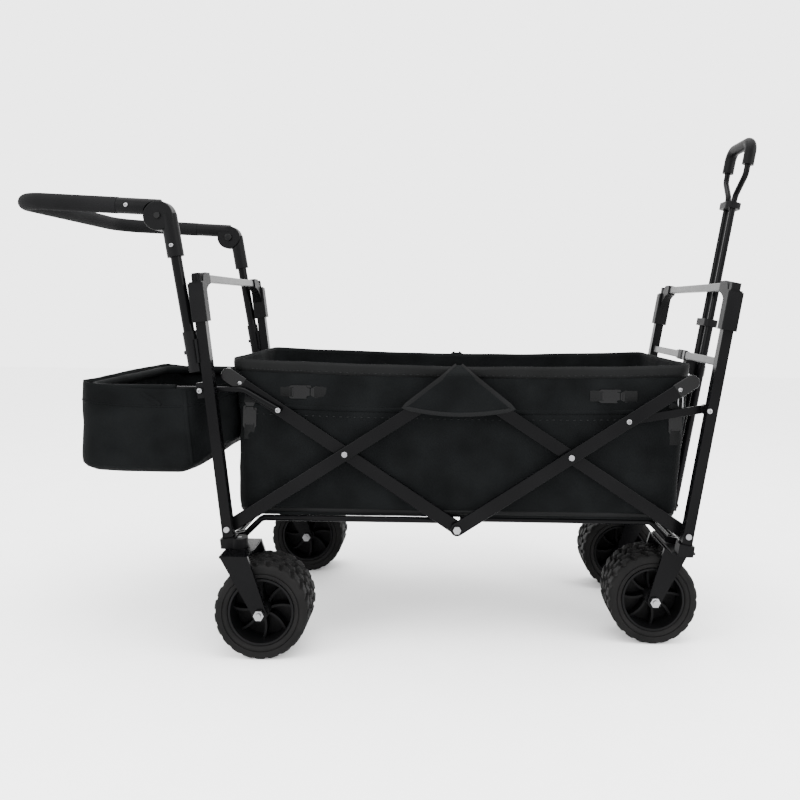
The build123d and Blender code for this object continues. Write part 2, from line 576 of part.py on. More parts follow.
def axle(axle_x, y):
    """Axle bolt with its head and nut, and the two bushes that the hub turns on."""
    reach = WHEEL_W / 2 + FORK_GAP + FORK_T + SNUG
    bolt = cross_pin(axle_x, WHEEL_R, y - reach - NUT_T - 3, y + reach + NUT_T + 3, AXLE_R)
    nuts = []
    for side in (-1, 1):
        nut = hex_nut(axle_x, WHEEL_R, *sorted((y + side * reach, y + side * (reach + NUT_T))))
        nuts.append(nut)
    bolt = bolt + nuts[0] + nuts[1]
    bushes = []
    for side in (-1, 1):
        low, high = sorted((y + side * (HUB_W / 2 - BUSH_L), y + side * HUB_W / 2))
        bush = cross_pin(axle_x, WHEEL_R, low, high, BUSH_R)
        bushes.append(bush - cross_pin(axle_x, WHEEL_R, low - 1, high + 1, AXLE_R + SNUG))
    return [bolt, *bushes]


def rim(axle_x, y):
    """Deep one-piece rim with curved spokes on both sides of a closed disc, and a hub."""
    across = Rot(90, 0, 0)
    barrel = Cylinder(RIM_R, WHEEL_W - 4) - Cylinder(RIM_R - RIM_WALL, WHEEL_W)
    hub = Cylinder(HUB_R, HUB_W)
    spoke_line = ThreePointArc((HUB_R - 2, 0), ((HUB_R + RIM_R) / 2, SPOKE_BOW), (RIM_R - 2, 0))
    spoke = extrude(SlotArc(spoke_line, SPOKE_T), amount=SPOKE_W / 2, both=True)
    body = barrel + hub
    for number in range(SPOKES):
        body += Rot(0, 0, number * 360 / SPOKES) * spoke
    body += Cylinder(RIM_R - 2, WEB_T)
    body -= Cylinder(RIM_R + WHEEL_R, WHEEL_W) - Cylinder(RIM_R, WHEEL_W)
    body -= Cylinder(BUSH_R + RUN_FIT, 2 * HUB_W)
    return Pos(axle_x, y, WHEEL_R) * across * body


def tyre(axle_x, y):
    """Solid tyre: a ring with rounded corners over the rim."""
    inner = RIM_R + SNUG
    section = Pos((WHEEL_R + inner) / 2, 0) * RectangleRounded(WHEEL_R - inner, WHEEL_W, TYRE_EDGE)
    return Pos(axle_x, y, WHEEL_R) * revolve(section, axis=Axis.Y)


def kingpin():
    """Swivel pin of a rear fork, with its lower head under the fork's top plate."""
    low = REAR_PLATE_Z - PLATE_T - 2 * SEAT
    pin = Pos(SWIVEL_X, POST_Y, (low - 5 + PIVOT_Z - FOOT_TOP) / 2) * Cylinder(
        KINGPIN_R, PIVOT_Z - FOOT_TOP - low + 5
    )
    return pin + Pos(SWIVEL_X, POST_Y, low - 2.5) * Cylinder(KINGPIN_R + 5, 5)


def rear_fork(side):
    """Swivelling fork of one rear wheel, with the hole for its kingpin."""
    body = fork(SWIVEL_X + 4, REAR_PLATE_Z, REAR_AXLE_X, side * POST_Y)
    return body - Pos(SWIVEL_X, side * POST_Y, REAR_PLATE_Z) * Cylinder(KINGPIN_R + RUN_FIT, 40)


def wheel_nodes():
    """Forks, axles, rims and tyres of the four wheels."""
    nodes = {}
    for name, side in (("left", 1), ("right", -1)):
        nodes[f"rear_{name}_fork"] = [rear_fork(side)]
        nodes[f"rear_{name}_axle"] = axle(REAR_AXLE_X, side * POST_Y)
        nodes[f"rear_{name}_rim"] = [rim(REAR_AXLE_X, side * POST_Y)]
        nodes[f"rear_{name}_tyre"] = [tyre(REAR_AXLE_X, side * POST_Y)]
        nodes[f"front_{name}_rim"] = [rim(FRONT_AXLE_X, side * FRONT_WHEEL_Y)]
        nodes[f"front_{name}_tyre"] = [tyre(FRONT_AXLE_X, side * FRONT_WHEEL_Y)]
    nodes["front_forks"] = pair(fork(FORK_X, FRONT_PLATE_Z, FRONT_AXLE_X, FRONT_WHEEL_Y))
    return nodes


# ---- push handle -----------------------------------------------------------------------------
SOCKET_AT = post_point(-1, SOCKET_UP, SOCKET_BACK)
HANDLE_DIR = unit(-HANDLE_LEAN, 1)
HANDLE_BACK = (-HANDLE_DIR[1], HANDLE_DIR[0])
ARM_DIR = (-cos(radians(GRIP_RISE)), sin(radians(GRIP_RISE)))
ARM_UP = (ARM_DIR[1], -ARM_DIR[0])
HINGE = (
    SOCKET_AT[0] + HANDLE_DIR[0] * HINGE_UP + HANDLE_BACK[0] * ELBOW_IN,
    SOCKET_AT[1] + HANDLE_DIR[1] * HINGE_UP + HANDLE_BACK[1] * ELBOW_IN,
)


def on_handle(along, y=POST_Y):
    """A point on an upright's axis, measured up from the socket's centre."""
    return SOCKET_AT[0] + HANDLE_DIR[0] * along, y, SOCKET_AT[1] + HANDLE_DIR[1] * along


def on_arm(along, y=POST_Y):
    """A point on a grip arm's axis, measured back from the elbow."""
    x, z = HINGE[0] + ARM_UP[0] * ELBOW_IN, HINGE[1] + ARM_UP[1] * ELBOW_IN
    return x + ARM_DIR[0] * along, y, z + ARM_DIR[1] * along


def handle_socket():
    """Socket tube behind a rear post, with its clamp block and the latch button's hole."""
    socket = rod(on_handle(-SOCKET_L / 2), on_handle(SOCKET_L / 2), SOCKET_R)
    near = -POST / 2 - SNUG
    block = Box(SOCKET_BACK + near, 18, 46)
    block = Pos((near - SOCKET_BACK) / 2, 0, SOCKET_UP) * fillet(block.edges().filter_by(Axis.X), 4)
    wing = Pos(near - 2, 0, SOCKET_UP) * Box(4, POST + 8, 46)
    socket += post_plane(-1, POST_Y) * (block + wing)
    bore = UPRIGHT_R + SLIDE_FIT
    socket -= rod(on_handle(-SOCKET_L), on_handle(SOCKET_L), bore)
    return socket - latch_rod(0, 60, LATCH_R + RUN_FIT)


def latch_rod(low, high, radius):
    """A round bar square to an upright, pointing to the rear from the socket's axis."""
    x, z = SOCKET_AT
    ends = [(x + HANDLE_BACK[0] * out, POST_Y, z + HANDLE_BACK[1] * out) for out in (low, high)]
    return rod(*ends, radius)


def upright():
    """Tube that stands in the socket, with the latch hole near its foot."""
    foot, top = -SOCKET_L / 2 + 8, HINGE_UP - ELBOW_R - 3
    tube = rod(on_handle(foot), on_handle(top), UPRIGHT_R)
    tube -= rod(on_handle(foot - 5), on_handle(top + 5), UPRIGHT_R - TUBE_WALL)
    return tube - latch_rod(0, 60, LATCH_R + 0.4)


def elbow_half(outboard):
    """One half of an elbow hinge: a disc on one side of the joint plane, with its tube sleeve."""
    side = 1 if outboard else -1
    face = POST_Y + side * SEAT
    disc = cross_pin(*HINGE, *sorted((face, face + side * ELBOW_T)), ELBOW_R)
    disc = fillet(disc.faces().sort_by(Axis.Y)[-1 if outboard else 0].edges(), 3)
    if outboard:
        sleeve = rod(on_handle(HINGE_UP - LOWER_SLEEVE_L), on_handle(HINGE_UP - SEAT), SLEEVE_R)
        bore = rod(on_handle(0), on_handle(HINGE_UP - ELBOW_R - 2), UPRIGHT_R + SNUG)
    else:
        sleeve = rod(on_arm(SEAT), on_arm(UPPER_SLEEVE_L), SLEEVE_R)
        bore = rod(on_arm(ELBOW_R + 2), on_arm(2 * UPPER_SLEEVE_L), GRIP_TUBE_R + SNUG)
    other = sorted((POST_Y + side * SEAT, POST_Y - side * 3 * SLEEVE_R))
    sleeve -= cross_pin(*HINGE, *other, ELBOW_R + 1)
    body = (sleeve + disc) - bore - cross_pin(*HINGE, POST_Y - 50, POST_Y + 50, HOLE_R)
    if not outboard:
        deep = POST_Y - SEAT - ELBOW_T + BUTTON_TRAVEL + 5
        body -= cross_pin(*HINGE, POST_Y - 60, deep, BUTTON_R + SLIDE_FIT)
    return body


def elbow_bolt():
    """Screw through an elbow, headed on the outside and ending under the push button."""
    inner, outer = POST_Y - SEAT - ELBOW_T + BUTTON_TRAVEL + 5.5, POST_Y + SEAT + ELBOW_T + SNUG
    return cross_pin(*HINGE, inner, outer + 2, PIN_R) + cross_pin(*HINGE, outer, outer + 3, HEAD_R)


def elbow_button():
    """Round push button in the inner face of an elbow."""
    low = POST_Y - SEAT - ELBOW_T - BUTTON_PROUD
    button = cross_pin(*HINGE, low, low + BUTTON_PROUD + 4, BUTTON_R)
    return fillet(button.faces().sort_by(Axis.Y)[0].edges(), 1.5)


def grip_path(start):
    """The U-shaped line of the grip, from a distance behind the left elbow to the same on the right."""
    left = [on_arm(start), on_arm(GRIP_LENGTH)]
    return FilletPolyline(*left, *[(x, -y, z) for x, y, z in reversed(left)], radius=GRIP_BEND)


def grip_solid(start, outer, inner):
    """A tube along the grip's line."""
    path = grip_path(start)
    section = (path ^ 0) * (Circle(outer) - Circle(inner))
    return sweep(section, path=path)


def push_handle_nodes():
    """Sockets' latches, uprights, elbows, grip tube and foam."""
    bolt_left, button_left = elbow_bolt(), elbow_button()
    latch_low = UPRIGHT_R + SLIDE_FIT + SEAT
    latch = latch_rod(latch_low, SOCKET_R + LATCH_PROUD, LATCH_R)
    return {
        "socket_buttons": pair(latch),
        "push_uprights": pair(upright()),
        "elbow_lower_halves": pair(elbow_half(True)),
        "elbow_upper_halves": pair(elbow_half(False)),
        "elbow_bolts": pair(bolt_left),
        "elbow_button_left": [button_left],
        "elbow_button_right": [mirror(button_left, about=Plane.XZ)],
        "push_grip_tube": [grip_solid(ELBOW_R + 4, GRIP_TUBE_R, GRIP_TUBE_R - TUBE_WALL)],
        "push_grip_foam": [grip_solid(UPPER_SLEEVE_L + 0.5, FOAM_R, GRIP_TUBE_R + SNUG)],
    }


# ---- pull handle -----------------------------------------------------------------------------
PULL_DIR = unit(PULL_LEAN, 1)
PULL_PLANE = Plane(
    origin=(PULL_PIVOT[0], 0, PULL_PIVOT[1]), x_dir=(1, 0, -PULL_LEAN), z_dir=(PULL_LEAN, 0, 1)
)


def twin_tubes(low, high, outer, inner):
    """Two parallel tubes along the pull handle."""
    tubes = []
    for side in (-1, 1):
        ring = Pos(0, side * PULL_SPACING / 2, (low + high) / 2) * (
            Cylinder(outer, high - low) - Cylinder(inner, high - low + 2)
        )
        tubes.append(PULL_PLANE * ring)
    return tubes


def pull_collar(low, length, depth, width, bore):
    """Moulded collar round both tubes of the pull handle."""
    block = Pos(0, 0, low + length / 2) * Box(depth, width, length)
    block = fillet(block.edges().filter_by(Axis.Z), depth / 2 - 3)
    for side in (-1, 1):
        block -= Pos(0, side * PULL_SPACING / 2, low) * Cylinder(bore, 3 * length)
    return PULL_PLANE * block


def pull_leg(radius, low, high):
    """Left leg of the pull handle: straight through its collars, then spread out to the grip."""
    near = PULL_SPACING / 2
    path = FilletPolyline(
        (0, near, low), (0, near, LEG_SPREAD_LOW), (0, GRIP_HALF_W, LEG_SPREAD_HIGH),
        (0, GRIP_HALF_W, high), radius=22,
    )
    return PULL_PLANE * sweep((path ^ 0) * Circle(radius), path=path)


def pull_grip():
    """Thick U-shaped hand grip over the upper ends of the two legs."""
    left = [(0, GRIP_HALF_W, GRIP_FOOT_UP), (0, GRIP_HALF_W, GRIP_BAR_UP)]
    points = [*left, *[(x, -y, z) for x, y, z in reversed(left)]]
    grip = bent_rod(points, GRIP_BAR_BEND, GRIP_BAR_R)
    for side in (-1, 1):
        bore = Cylinder(LEG_R + SNUG, 2 * (LEG_END - GRIP_FOOT_UP) + 2 * SNUG)
        grip -= Pos(0, side * GRIP_HALF_W, GRIP_FOOT_UP) * bore
    return PULL_PLANE * grip


def parking_clip():
    """Clip on the lower front crossbar, with a prong between the parked handle's two tubes."""
    depth, height = MID_BAR_D + 2 * SPLICE_WALL, MID_BAR_H + 2 * SPLICE_WALL
    strap = post_plane(1) * (Pos(0, 0, MID_BAR_UP) * Box(depth + 3, CLIP_W, height + 3))
    face = -PULL_TUBE_R - 1.5
    block = PULL_PLANE * (Pos(face - 11, 0, CLIP_UP + 6) * Box(22, CLIP_W, CLIP_H + 12))
    prong = PULL_PLANE * (Pos(0, 0, CLIP_UP) * Box(2 * (PULL_TUBE_R + 6), CLIP_PRONG, CLIP_H))
    prong = fillet(prong.edges().filter_by(Axis.Y), 3)
    clip = strap + block + prong
    opening = Box(depth + 2 * SNUG, 2 * CLIP_W, height + 2 * SNUG)
    return clip - post_plane(1) * (Pos(0, 0, MID_BAR_UP) * opening)


def pull_handle_nodes():
    """Outer tubes, clamp collar, sliding legs, ring collar and D grip."""
    outer = twin_tubes(-PULL_FOOT, PULL_OUTER_L, PULL_TUBE_R, LEG_R + SLIDE_FIT)
    pivot_hole = cross_pin(*PULL_PIVOT, -POST_Y, POST_Y, HOLE_R)
    leg_low = PULL_OUTER_L - LEG_INSERT
    leg = pull_leg(LEG_R, leg_low, LEG_END) - pull_leg(LEG_R - LEG_WALL, leg_low, LEG_END)
    clamp = pull_collar(PULL_OUTER_L - CLAMP_L + 4, CLAMP_L, CLAMP_D, CLAMP_W, PULL_TUBE_R + SNUG)
    return {
        "pull_outer_tubes": [tube - pivot_hole for tube in outer],
        "pull_clamp": [clamp],
        "pull_legs": pair(leg),
        "pull_grip": [pull_grip(), pull_collar(RING_UP, RING_L, RING_D, RING_W, LEG_R + SNUG)],
    }


# ---- fabric ----------------------------------------------------------------------------------
def tub():
    """Open-topped fabric tub, wider at its front rim."""
    rear, front = -HALF_SPAN + TUB_REAR_IN, HALF_SPAN - TUB_FRONT_IN
    outline = [
        (rear, TUB_FLOOR_Z), (front, TUB_FLOOR_Z),
        (front + TUB_FRONT_FLARE, TUB_RIM_Z), (rear, TUB_RIM_Z),
    ]
    inside = [
        (rear + TUB_WALL, TUB_FLOOR_Z + TUB_WALL), (front - TUB_WALL, TUB_FLOOR_Z + TUB_WALL),
        (front + TUB_FRONT_FLARE - TUB_WALL, TUB_RIM_Z + 1), (rear + TUB_WALL, TUB_RIM_Z + 1),
    ]
    body = slab(make_face(Polyline(*outline, close=True)), -TUB_Y, TUB_Y)
    return body - slab(make_face(Polyline(*inside, close=True)), TUB_WALL - TUB_Y, TUB_Y - TUB_WALL)


def floor_mat():
    """Folding floor mat: stiff padded panels side by side on the tub's floor."""
    low = -HALF_SPAN + TUB_REAR_IN + TUB_WALL + MAT_SIDE
    high = HALF_SPAN - TUB_FRONT_IN - TUB_WALL - MAT_SIDE
    pitch = (high - low + MAT_GAP) / MAT_PANELS
    size = (pitch - MAT_GAP, 2 * (TUB_Y - TUB_WALL - MAT_SIDE), MAT_T)
    z = TUB_FLOOR_Z + TUB_WALL + SNUG + MAT_T / 2
    panel = fillet(Box(*size).edges(), 4)
    return [Pos(low + pitch * n + size[0] / 2, 0, z) * panel for n in range(MAT_PANELS)]


def rear_bag():
    """Open-topped bag that hangs inside the U-shaped bag tube, with a sloping floor."""
    back, front = BAG_PIVOT[0] - BAG_TUBE_BACK + BAG_TUBE_CLEAR, -HALF_SPAN - 5
    rim_z, low = BAG_PIVOT[1] - LINK_TUBE_R + 1, BAG_PIVOT[1] - BAG_DEPTH
    outline = [
        (back, rim_z), (back, low + 14), (back + 135, low), (front - 60, low + 12),
        (front, low + 55), (front, rim_z),
    ]
    outer = make_face(Polyline(*outline, close=True))
    inner = offset(outer, amount=-BAG_WALL, kind=Kind.INTERSECTION)
    mouth = Pos((back + front) / 2, rim_z) * Rectangle(front - back - 2 * BAG_WALL, 4 * BAG_WALL)
    body = slab(outer, -BAG_Y, BAG_Y)
    return body - slab(inner + mouth, BAG_WALL - BAG_Y, BAG_Y - BAG_WALL)


def strap_buckles():
    """Side-release buckles on the tub's sides: lying ones near the ends, standing ones at the corners."""
    buckles = []
    for x, up, turn in (
        (-HALF_SPAN + SIDE_BUCKLE_IN, SIDE_BUCKLE_UP, 0),
        (HALF_SPAN - SIDE_BUCKLE_IN, SIDE_BUCKLE_UP, 0),
        (-HALF_SPAN + REAR_CORNER_BUCKLE_IN, CORNER_BUCKLE_UP, 90),
        (HALF_SPAN - FRONT_CORNER_BUCKLE_IN, CORNER_BUCKLE_UP, 90),
    ):
        outline = Pos(x, PIVOT_Z + up) * Rot(0, 0, turn) * RectangleRounded(BUCKLE_L, BUCKLE_H, 6)
        body = slab(outline, TUB_Y + SNUG, TUB_Y + SNUG + BUCKLE_T)
        buckles.append(fillet(body.faces().sort_by(Axis.Y)[-1].edges(), 1.5))
    return pair(*buckles)


# ---- the whole wagon -------------------------------------------------------------------------
def build():
    """Every sub-part by name, laid out from the middle of the scissor frame."""
    front_reach = OUTER[0] - LAYER_GAP + SEAT
    rear_bolt = rivet(*LOW_REAR, OUTER[0], POST_Y + POST / 2, (OUTER[1] + SEAT, POST_FACE - SEAT))
    front_bolt = rivet(*LOW_FRONT, INNER[0], POST_Y + POST / 2, (front_reach, POST_FACE - SEAT))
    nodes = {
        "rear_posts": pair(post(-1)),
        "rear_corner_brackets": pair(corner_bracket(-1)),
        "rear_post_knobs": pair(post_top(-1)),
        "rear_arch_bar": [arch_bar(-1)],
        "rear_feet": pair(rear_foot()),
        "rear_bottom_tube": [bottom_frame(-1)],
        "rear_frame_bolts": pair(rear_bolt, kingpin()),
        "rear_post_fittings": pair(bag_bracket(), handle_socket()),
        "front_posts": pair(post(1)),
        "front_corner_brackets": pair(corner_bracket(1)),
        "front_post_plugs": pair(post_top(1)),
        "front_arch_bar": [arch_bar(1)],
        "front_feet": pair(front_foot()),
        "front_bottom_tube": [bottom_frame(1)],
        "front_middle_bar": middle_bar(),
        "front_frame_bolts": pair(front_bolt, *axle(FRONT_AXLE_X, FRONT_WHEEL_Y)),
        "front_link_lugs": pair(front_link_lug()),
        "parking_clip": [parking_clip()],
        "front_links": pair(front_link()),
        "bag_tube": [bag_tube()],
        "rear_base_tubes": pair(base_tube(-1)),
        "front_base_tubes": pair(base_tube(1)),
        "tub": [tub()],
        "floor_mat": floor_mat(),
        "rear_bag": [rear_bag()],
        "strap_buckles": strap_buckles(),
    }
    return {**nodes, **scissor_nodes(), **wheel_nodes(), **push_handle_nodes(), **pull_handle_nodes()}


def single_solids(shapes):
    """The solids held in a list of shapes."""
    return [solid for shape in shapes for solid in shape.solids()]


PARTS = {name: single_solids(shapes) for name, shapes in build().items()}
BOXES = [solid.bounding_box() for solids in PARTS.values() for solid in solids]
REAR_END, FRONT_END = min(box.min.X for box in BOXES), max(box.max.X for box in BOXES)
SHIFT_X = -(REAR_END + FRONT_END) / 2

os.makedirs("parts", exist_ok=True)
for node, solids in PARTS.items():
    moved = [Pos(SHIFT_X, 0, 0) * solid for solid in solids]
    shape = moved[0] if len(moved) == 1 else Compound(children=moved)
    export_step(shape, f"parts/{node}.step")
print(len(PARTS), "nodes, length", round(FRONT_END - REAR_END, 1), "mm, moved by", round(SHIFT_X, 1))
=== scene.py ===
"""Looks of the folding camp wagon: cloth, webbing, tyres, fittings, finishes, light and camera."""

import json
import logging
import math
from collections.abc import Callable, Iterable, Sequence
from dataclasses import dataclass, field
from enum import Enum

import bmesh
import bpy
from mathutils import Matrix, Vector, noise

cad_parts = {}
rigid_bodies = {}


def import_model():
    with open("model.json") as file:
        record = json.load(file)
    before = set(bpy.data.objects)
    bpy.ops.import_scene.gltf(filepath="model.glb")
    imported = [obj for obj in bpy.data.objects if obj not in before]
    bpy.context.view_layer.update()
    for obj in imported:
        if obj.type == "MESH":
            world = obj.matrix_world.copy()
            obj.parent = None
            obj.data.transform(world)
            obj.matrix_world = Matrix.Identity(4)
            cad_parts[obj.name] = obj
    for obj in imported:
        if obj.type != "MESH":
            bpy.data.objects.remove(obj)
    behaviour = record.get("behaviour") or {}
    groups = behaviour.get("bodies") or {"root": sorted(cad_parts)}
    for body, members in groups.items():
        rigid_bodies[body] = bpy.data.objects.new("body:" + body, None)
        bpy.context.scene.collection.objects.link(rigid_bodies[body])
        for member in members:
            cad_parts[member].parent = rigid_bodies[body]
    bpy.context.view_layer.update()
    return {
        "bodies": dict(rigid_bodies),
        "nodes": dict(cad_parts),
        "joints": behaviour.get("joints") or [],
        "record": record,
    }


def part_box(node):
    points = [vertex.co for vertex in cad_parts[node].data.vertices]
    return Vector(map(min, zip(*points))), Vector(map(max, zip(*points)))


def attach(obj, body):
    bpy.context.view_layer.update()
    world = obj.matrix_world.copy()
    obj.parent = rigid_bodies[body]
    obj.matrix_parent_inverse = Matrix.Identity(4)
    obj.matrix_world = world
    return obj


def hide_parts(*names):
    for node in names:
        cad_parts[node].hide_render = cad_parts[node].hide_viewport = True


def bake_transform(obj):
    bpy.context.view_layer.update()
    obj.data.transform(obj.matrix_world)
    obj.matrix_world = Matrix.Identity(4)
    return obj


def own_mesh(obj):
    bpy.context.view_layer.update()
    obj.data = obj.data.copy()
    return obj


LOG = logging.getLogger("camp_wagon")
Rows = list[list[Vector]]
Section = list[tuple[float, float]]
Spot = tuple[str, str, Vector, float]
Color = tuple[float, float, float]
Piece = bpy.types.Object
Socket = bpy.types.NodeSocket


class Side(Enum):
    """The two sides of the wagon, by the sign of their Y."""

    LEFT = 1
    RIGHT = -1


class Weave(Enum):
    """How a cloth is woven, with its thread pitch in metres."""

    OXFORD = 0.0011
    WEBBING = 0.0022


# ---- finishes
@dataclass
class Graph:
    """A material's nodes, from the place on the surface to the shader."""

    tree: bpy.types.NodeTree

    def __post_init__(self) -> None:
        """Find the shader and the place on the surface."""
        self.shader = self.tree.nodes["Principled BSDF"]
        self.where = self.tree.nodes.new("ShaderNodeTexCoord").outputs["Object"]

    def add(self, kind: str, entry: str | int, feed: Socket, values: dict[str, float]) -> bpy.types.Node:
        """Add a node that is fed at one of its entries.

        Args:
            kind: The node's type.
            entry: The entry that is fed.
            feed: The socket that feeds it.
            values: Values of its other entries.

        Returns:
            The node.
        """
        node = self.tree.nodes.new(kind)
        for name, value in values.items():
            node.inputs[name].default_value = value
        self.tree.links.new(feed, node.inputs[entry])
        return node

    def noise(self, scale: float, detail: float) -> Socket:
        """Add noise with so many spots per metre and so many octaves, and give its value."""
        values = {"Scale": scale, "Detail": detail}
        return self.add("ShaderNodeTexNoise", "Vector", self.where, values).outputs["Fac"]

    def ramp(self, value: Socket, low: Color, high: Color) -> Socket:
        """Turn a value into a colour between two colours.

        Args:
            value: The value to colour.
            low: Colour at a value of 0.3.
            high: Colour at a value of 0.7.

        Returns:
            The colour's socket.
        """
        node = self.add("ShaderNodeValToRGB", "Fac", value, {})
        for element, place, color in zip(node.color_ramp.elements, (0.3, 0.7), (low, high)):
            element.position, element.color = place, (*color, 1.0)
        return node.outputs["Color"]

    def bump(self, height: Socket, strength: float, distance: float) -> None:
        """Link a height to the shader as a bump, over any bump that is there.

        Args:
            height: The height, from 0 to 1.
            strength: How strongly it shows, from 0 to 1.
            distance: Height of the relief in metres.
        """
        node = self.add("ShaderNodeBump", "Height", height, {"Strength": strength, "Distance": distance})
        normal = self.shader.inputs["Normal"]
        if normal.links:
            self.tree.links.new(normal.links[0].from_socket, node.inputs["Normal"])
        self.tree.links.new(node.outputs["Normal"], normal)


@dataclass(frozen=True)
class Finish:
    """A surface finish with fine grain and slow colour variation."""

    name: str
    color: Color
    second: Color
    roughness: tuple[float, float] = (0.4, 0.5)
    metallic: float = 0.0
    grain_size: float = 900.0
    grain_depth: float = 0.1
    grain_height: float = 0.0003
    blotch_size: float = 9.0
    specular: float = 0.5

    def build(self) -> bpy.types.Material:
        """Make the material, or find it where it is made already.

        Returns:
            The finished node material.
        """
        found = bpy.data.materials.get(self.name)
        if found:
            return found
        material = bpy.data.materials.new(self.name)
        material.use_nodes = True
        graph = Graph(material.node_tree)
        inputs = graph.shader.inputs
        inputs["Metallic"].default_value = self.metallic
        inputs["Specular IOR Level"].default_value = self.specular
        blotch = graph.noise(self.blotch_size, 4.0)
        graph.tree.links.new(graph.ramp(blotch, self.color, self.second), inputs["Base Color"])
        limits = dict(zip(("To Min", "To Max"), self.roughness))
        rough = graph.add("ShaderNodeMapRange", "Value", graph.noise(self.blotch_size * 4, 3.0), limits)
        graph.tree.links.new(rough.outputs["Result"], inputs["Roughness"])
        self.relief(graph)
        return material

    def relief(self, graph: Graph) -> None:
        """Add the grain's bump to the material's nodes."""
        graph.bump(graph.noise(self.grain_size, 2.0), self.grain_depth, self.grain_height)


@dataclass(frozen=True)
class Cloth(Finish):
    """A woven finish: threads cross in every plane, over soft crumples."""

    weave: Weave = Weave.OXFORD
    crumple: float = 0.35
    crumple_size: float = 26.0
    crumple_height: float = 0.006
    thread_depth: float = 0.3
    thread_height: float = 0.0002

    def relief(self, graph: Graph) -> None:
        """Add the weave and the crumples to the material's nodes."""
        graph.bump(graph.noise(self.crumple_size, 5.0), self.crumple, self.crumple_height)
        total = None
        for direction in ("X", "Y", "Z"):
            values = {"Scale": 0.314 / self.weave.value / 2, "Distortion": 0.4}
            wave = graph.add("ShaderNodeTexWave", "Vector", graph.where, values)
            wave.bands_direction = direction
            if total is None:
                total = wave.outputs["Fac"]
                continue
            both = graph.add("ShaderNodeMath", 0, total, {})
            graph.tree.links.new(wave.outputs["Fac"], both.inputs[1])
            total = both.outputs["Value"]
        graph.bump(total, self.thread_depth, self.thread_height)


OXFORD = Cloth(
    "black_oxford", (0.0014, 0.0016, 0.0017), (0.0034, 0.0038, 0.0040), (0.80, 0.92), blotch_size=14.0,
    specular=0.035,
)
LINING = Cloth(
    "inner_lining", (0.0012, 0.0014, 0.0015), (0.0028, 0.0031, 0.0033), (0.85, 0.95), specular=0.025
)
WEBBING = Cloth(
    "strap_webbing", (0.0012, 0.0013, 0.0013), (0.0036, 0.0038, 0.0040), (0.6, 0.75), specular=0.07,
    weave=Weave.WEBBING, crumple=0.05,
)
STITCH = Finish("stitch_thread", (0.006, 0.0065, 0.0065), (0.011, 0.0115, 0.012), (0.6, 0.8), specular=0.1)
POWDER = Finish(
    "powder_coated_steel", (0.0010, 0.0010, 0.0012), (0.0020, 0.0020, 0.0022), (0.20, 0.28),
    grain_size=700.0, grain_depth=0.12, specular=0.045,
)
GREY_BAR = Finish(
    "grey_coated_bar", (0.0050, 0.0051, 0.0055), (0.0085, 0.0086, 0.0090), (0.3, 0.4), grain_size=700.0,
    specular=0.22,
)
ZINC = Finish(
    "zinc_plate", (0.13, 0.13, 0.135), (0.24, 0.24, 0.245), (0.24, 0.36), metallic=1.0, grain_size=400.0,
    grain_depth=0.06,
)
MOULDED = Finish(
    "moulded_plastic", (0.0014, 0.0014, 0.0016), (0.0028, 0.0028, 0.0030), (0.38, 0.5),
    grain_size=1400.0, grain_depth=0.25, specular=0.045,
)
RIM = Finish(
    "rim_plastic", (0.0014, 0.0014, 0.0016), (0.0028, 0.0028, 0.0030), (0.42, 0.55), grain_size=1100.0,
    specular=0.06,
)
GLOSS = Finish(
    "gloss_plastic", (0.0018, 0.0018, 0.0020), (0.0030, 0.0030, 0.0032), (0.12, 0.2), specular=0.12,
)
RUBBER = Finish(
    "tread_rubber", (0.0022, 0.0022, 0.0022), (0.0046, 0.0044, 0.0044), (0.6, 0.8), grain_size=500.0,
    grain_depth=0.3, blotch_size=22.0, specular=0.07,
)
FOAM = Finish(
    "grip_foam", (0.0030, 0.0030, 0.0032), (0.0055, 0.0055, 0.0058), (0.85, 0.95), grain_size=650.0,
    grain_depth=0.6, specular=0.05,
)

NODE_FINISHES: dict[Finish, str] = {
    POWDER: "rear_posts front_posts rear_up_bars rear_down_bars front_down_bars front_up_bars bag_tube "
    "front_links front_link_lugs rear_base_tubes front_base_tubes front_forks rear_left_fork "
    "rear_right_fork push_uprights push_grip_tube pull_outer_tubes rear_bottom_tube front_bottom_tube "
    "pull_legs",
    GREY_BAR: "rear_arch_bar front_arch_bar front_middle_bar",
    ZINC: "rear_frame_bolts front_frame_bolts rear_down_pins front_down_pins rear_left_axle "
    "rear_right_axle",
    MOULDED: "rear_corner_brackets front_corner_brackets rear_post_knobs front_post_plugs rear_feet "
    "front_feet rear_post_fittings parking_clip elbow_lower_halves elbow_upper_halves pull_clamp "
    "pull_grip",
    GLOSS: "elbow_bolts rear_top_caps front_top_caps socket_buttons elbow_button_left elbow_button_right",
    RIM: "rear_left_rim rear_right_rim front_left_rim front_right_rim",
    FOAM: "push_grip_foam",
}


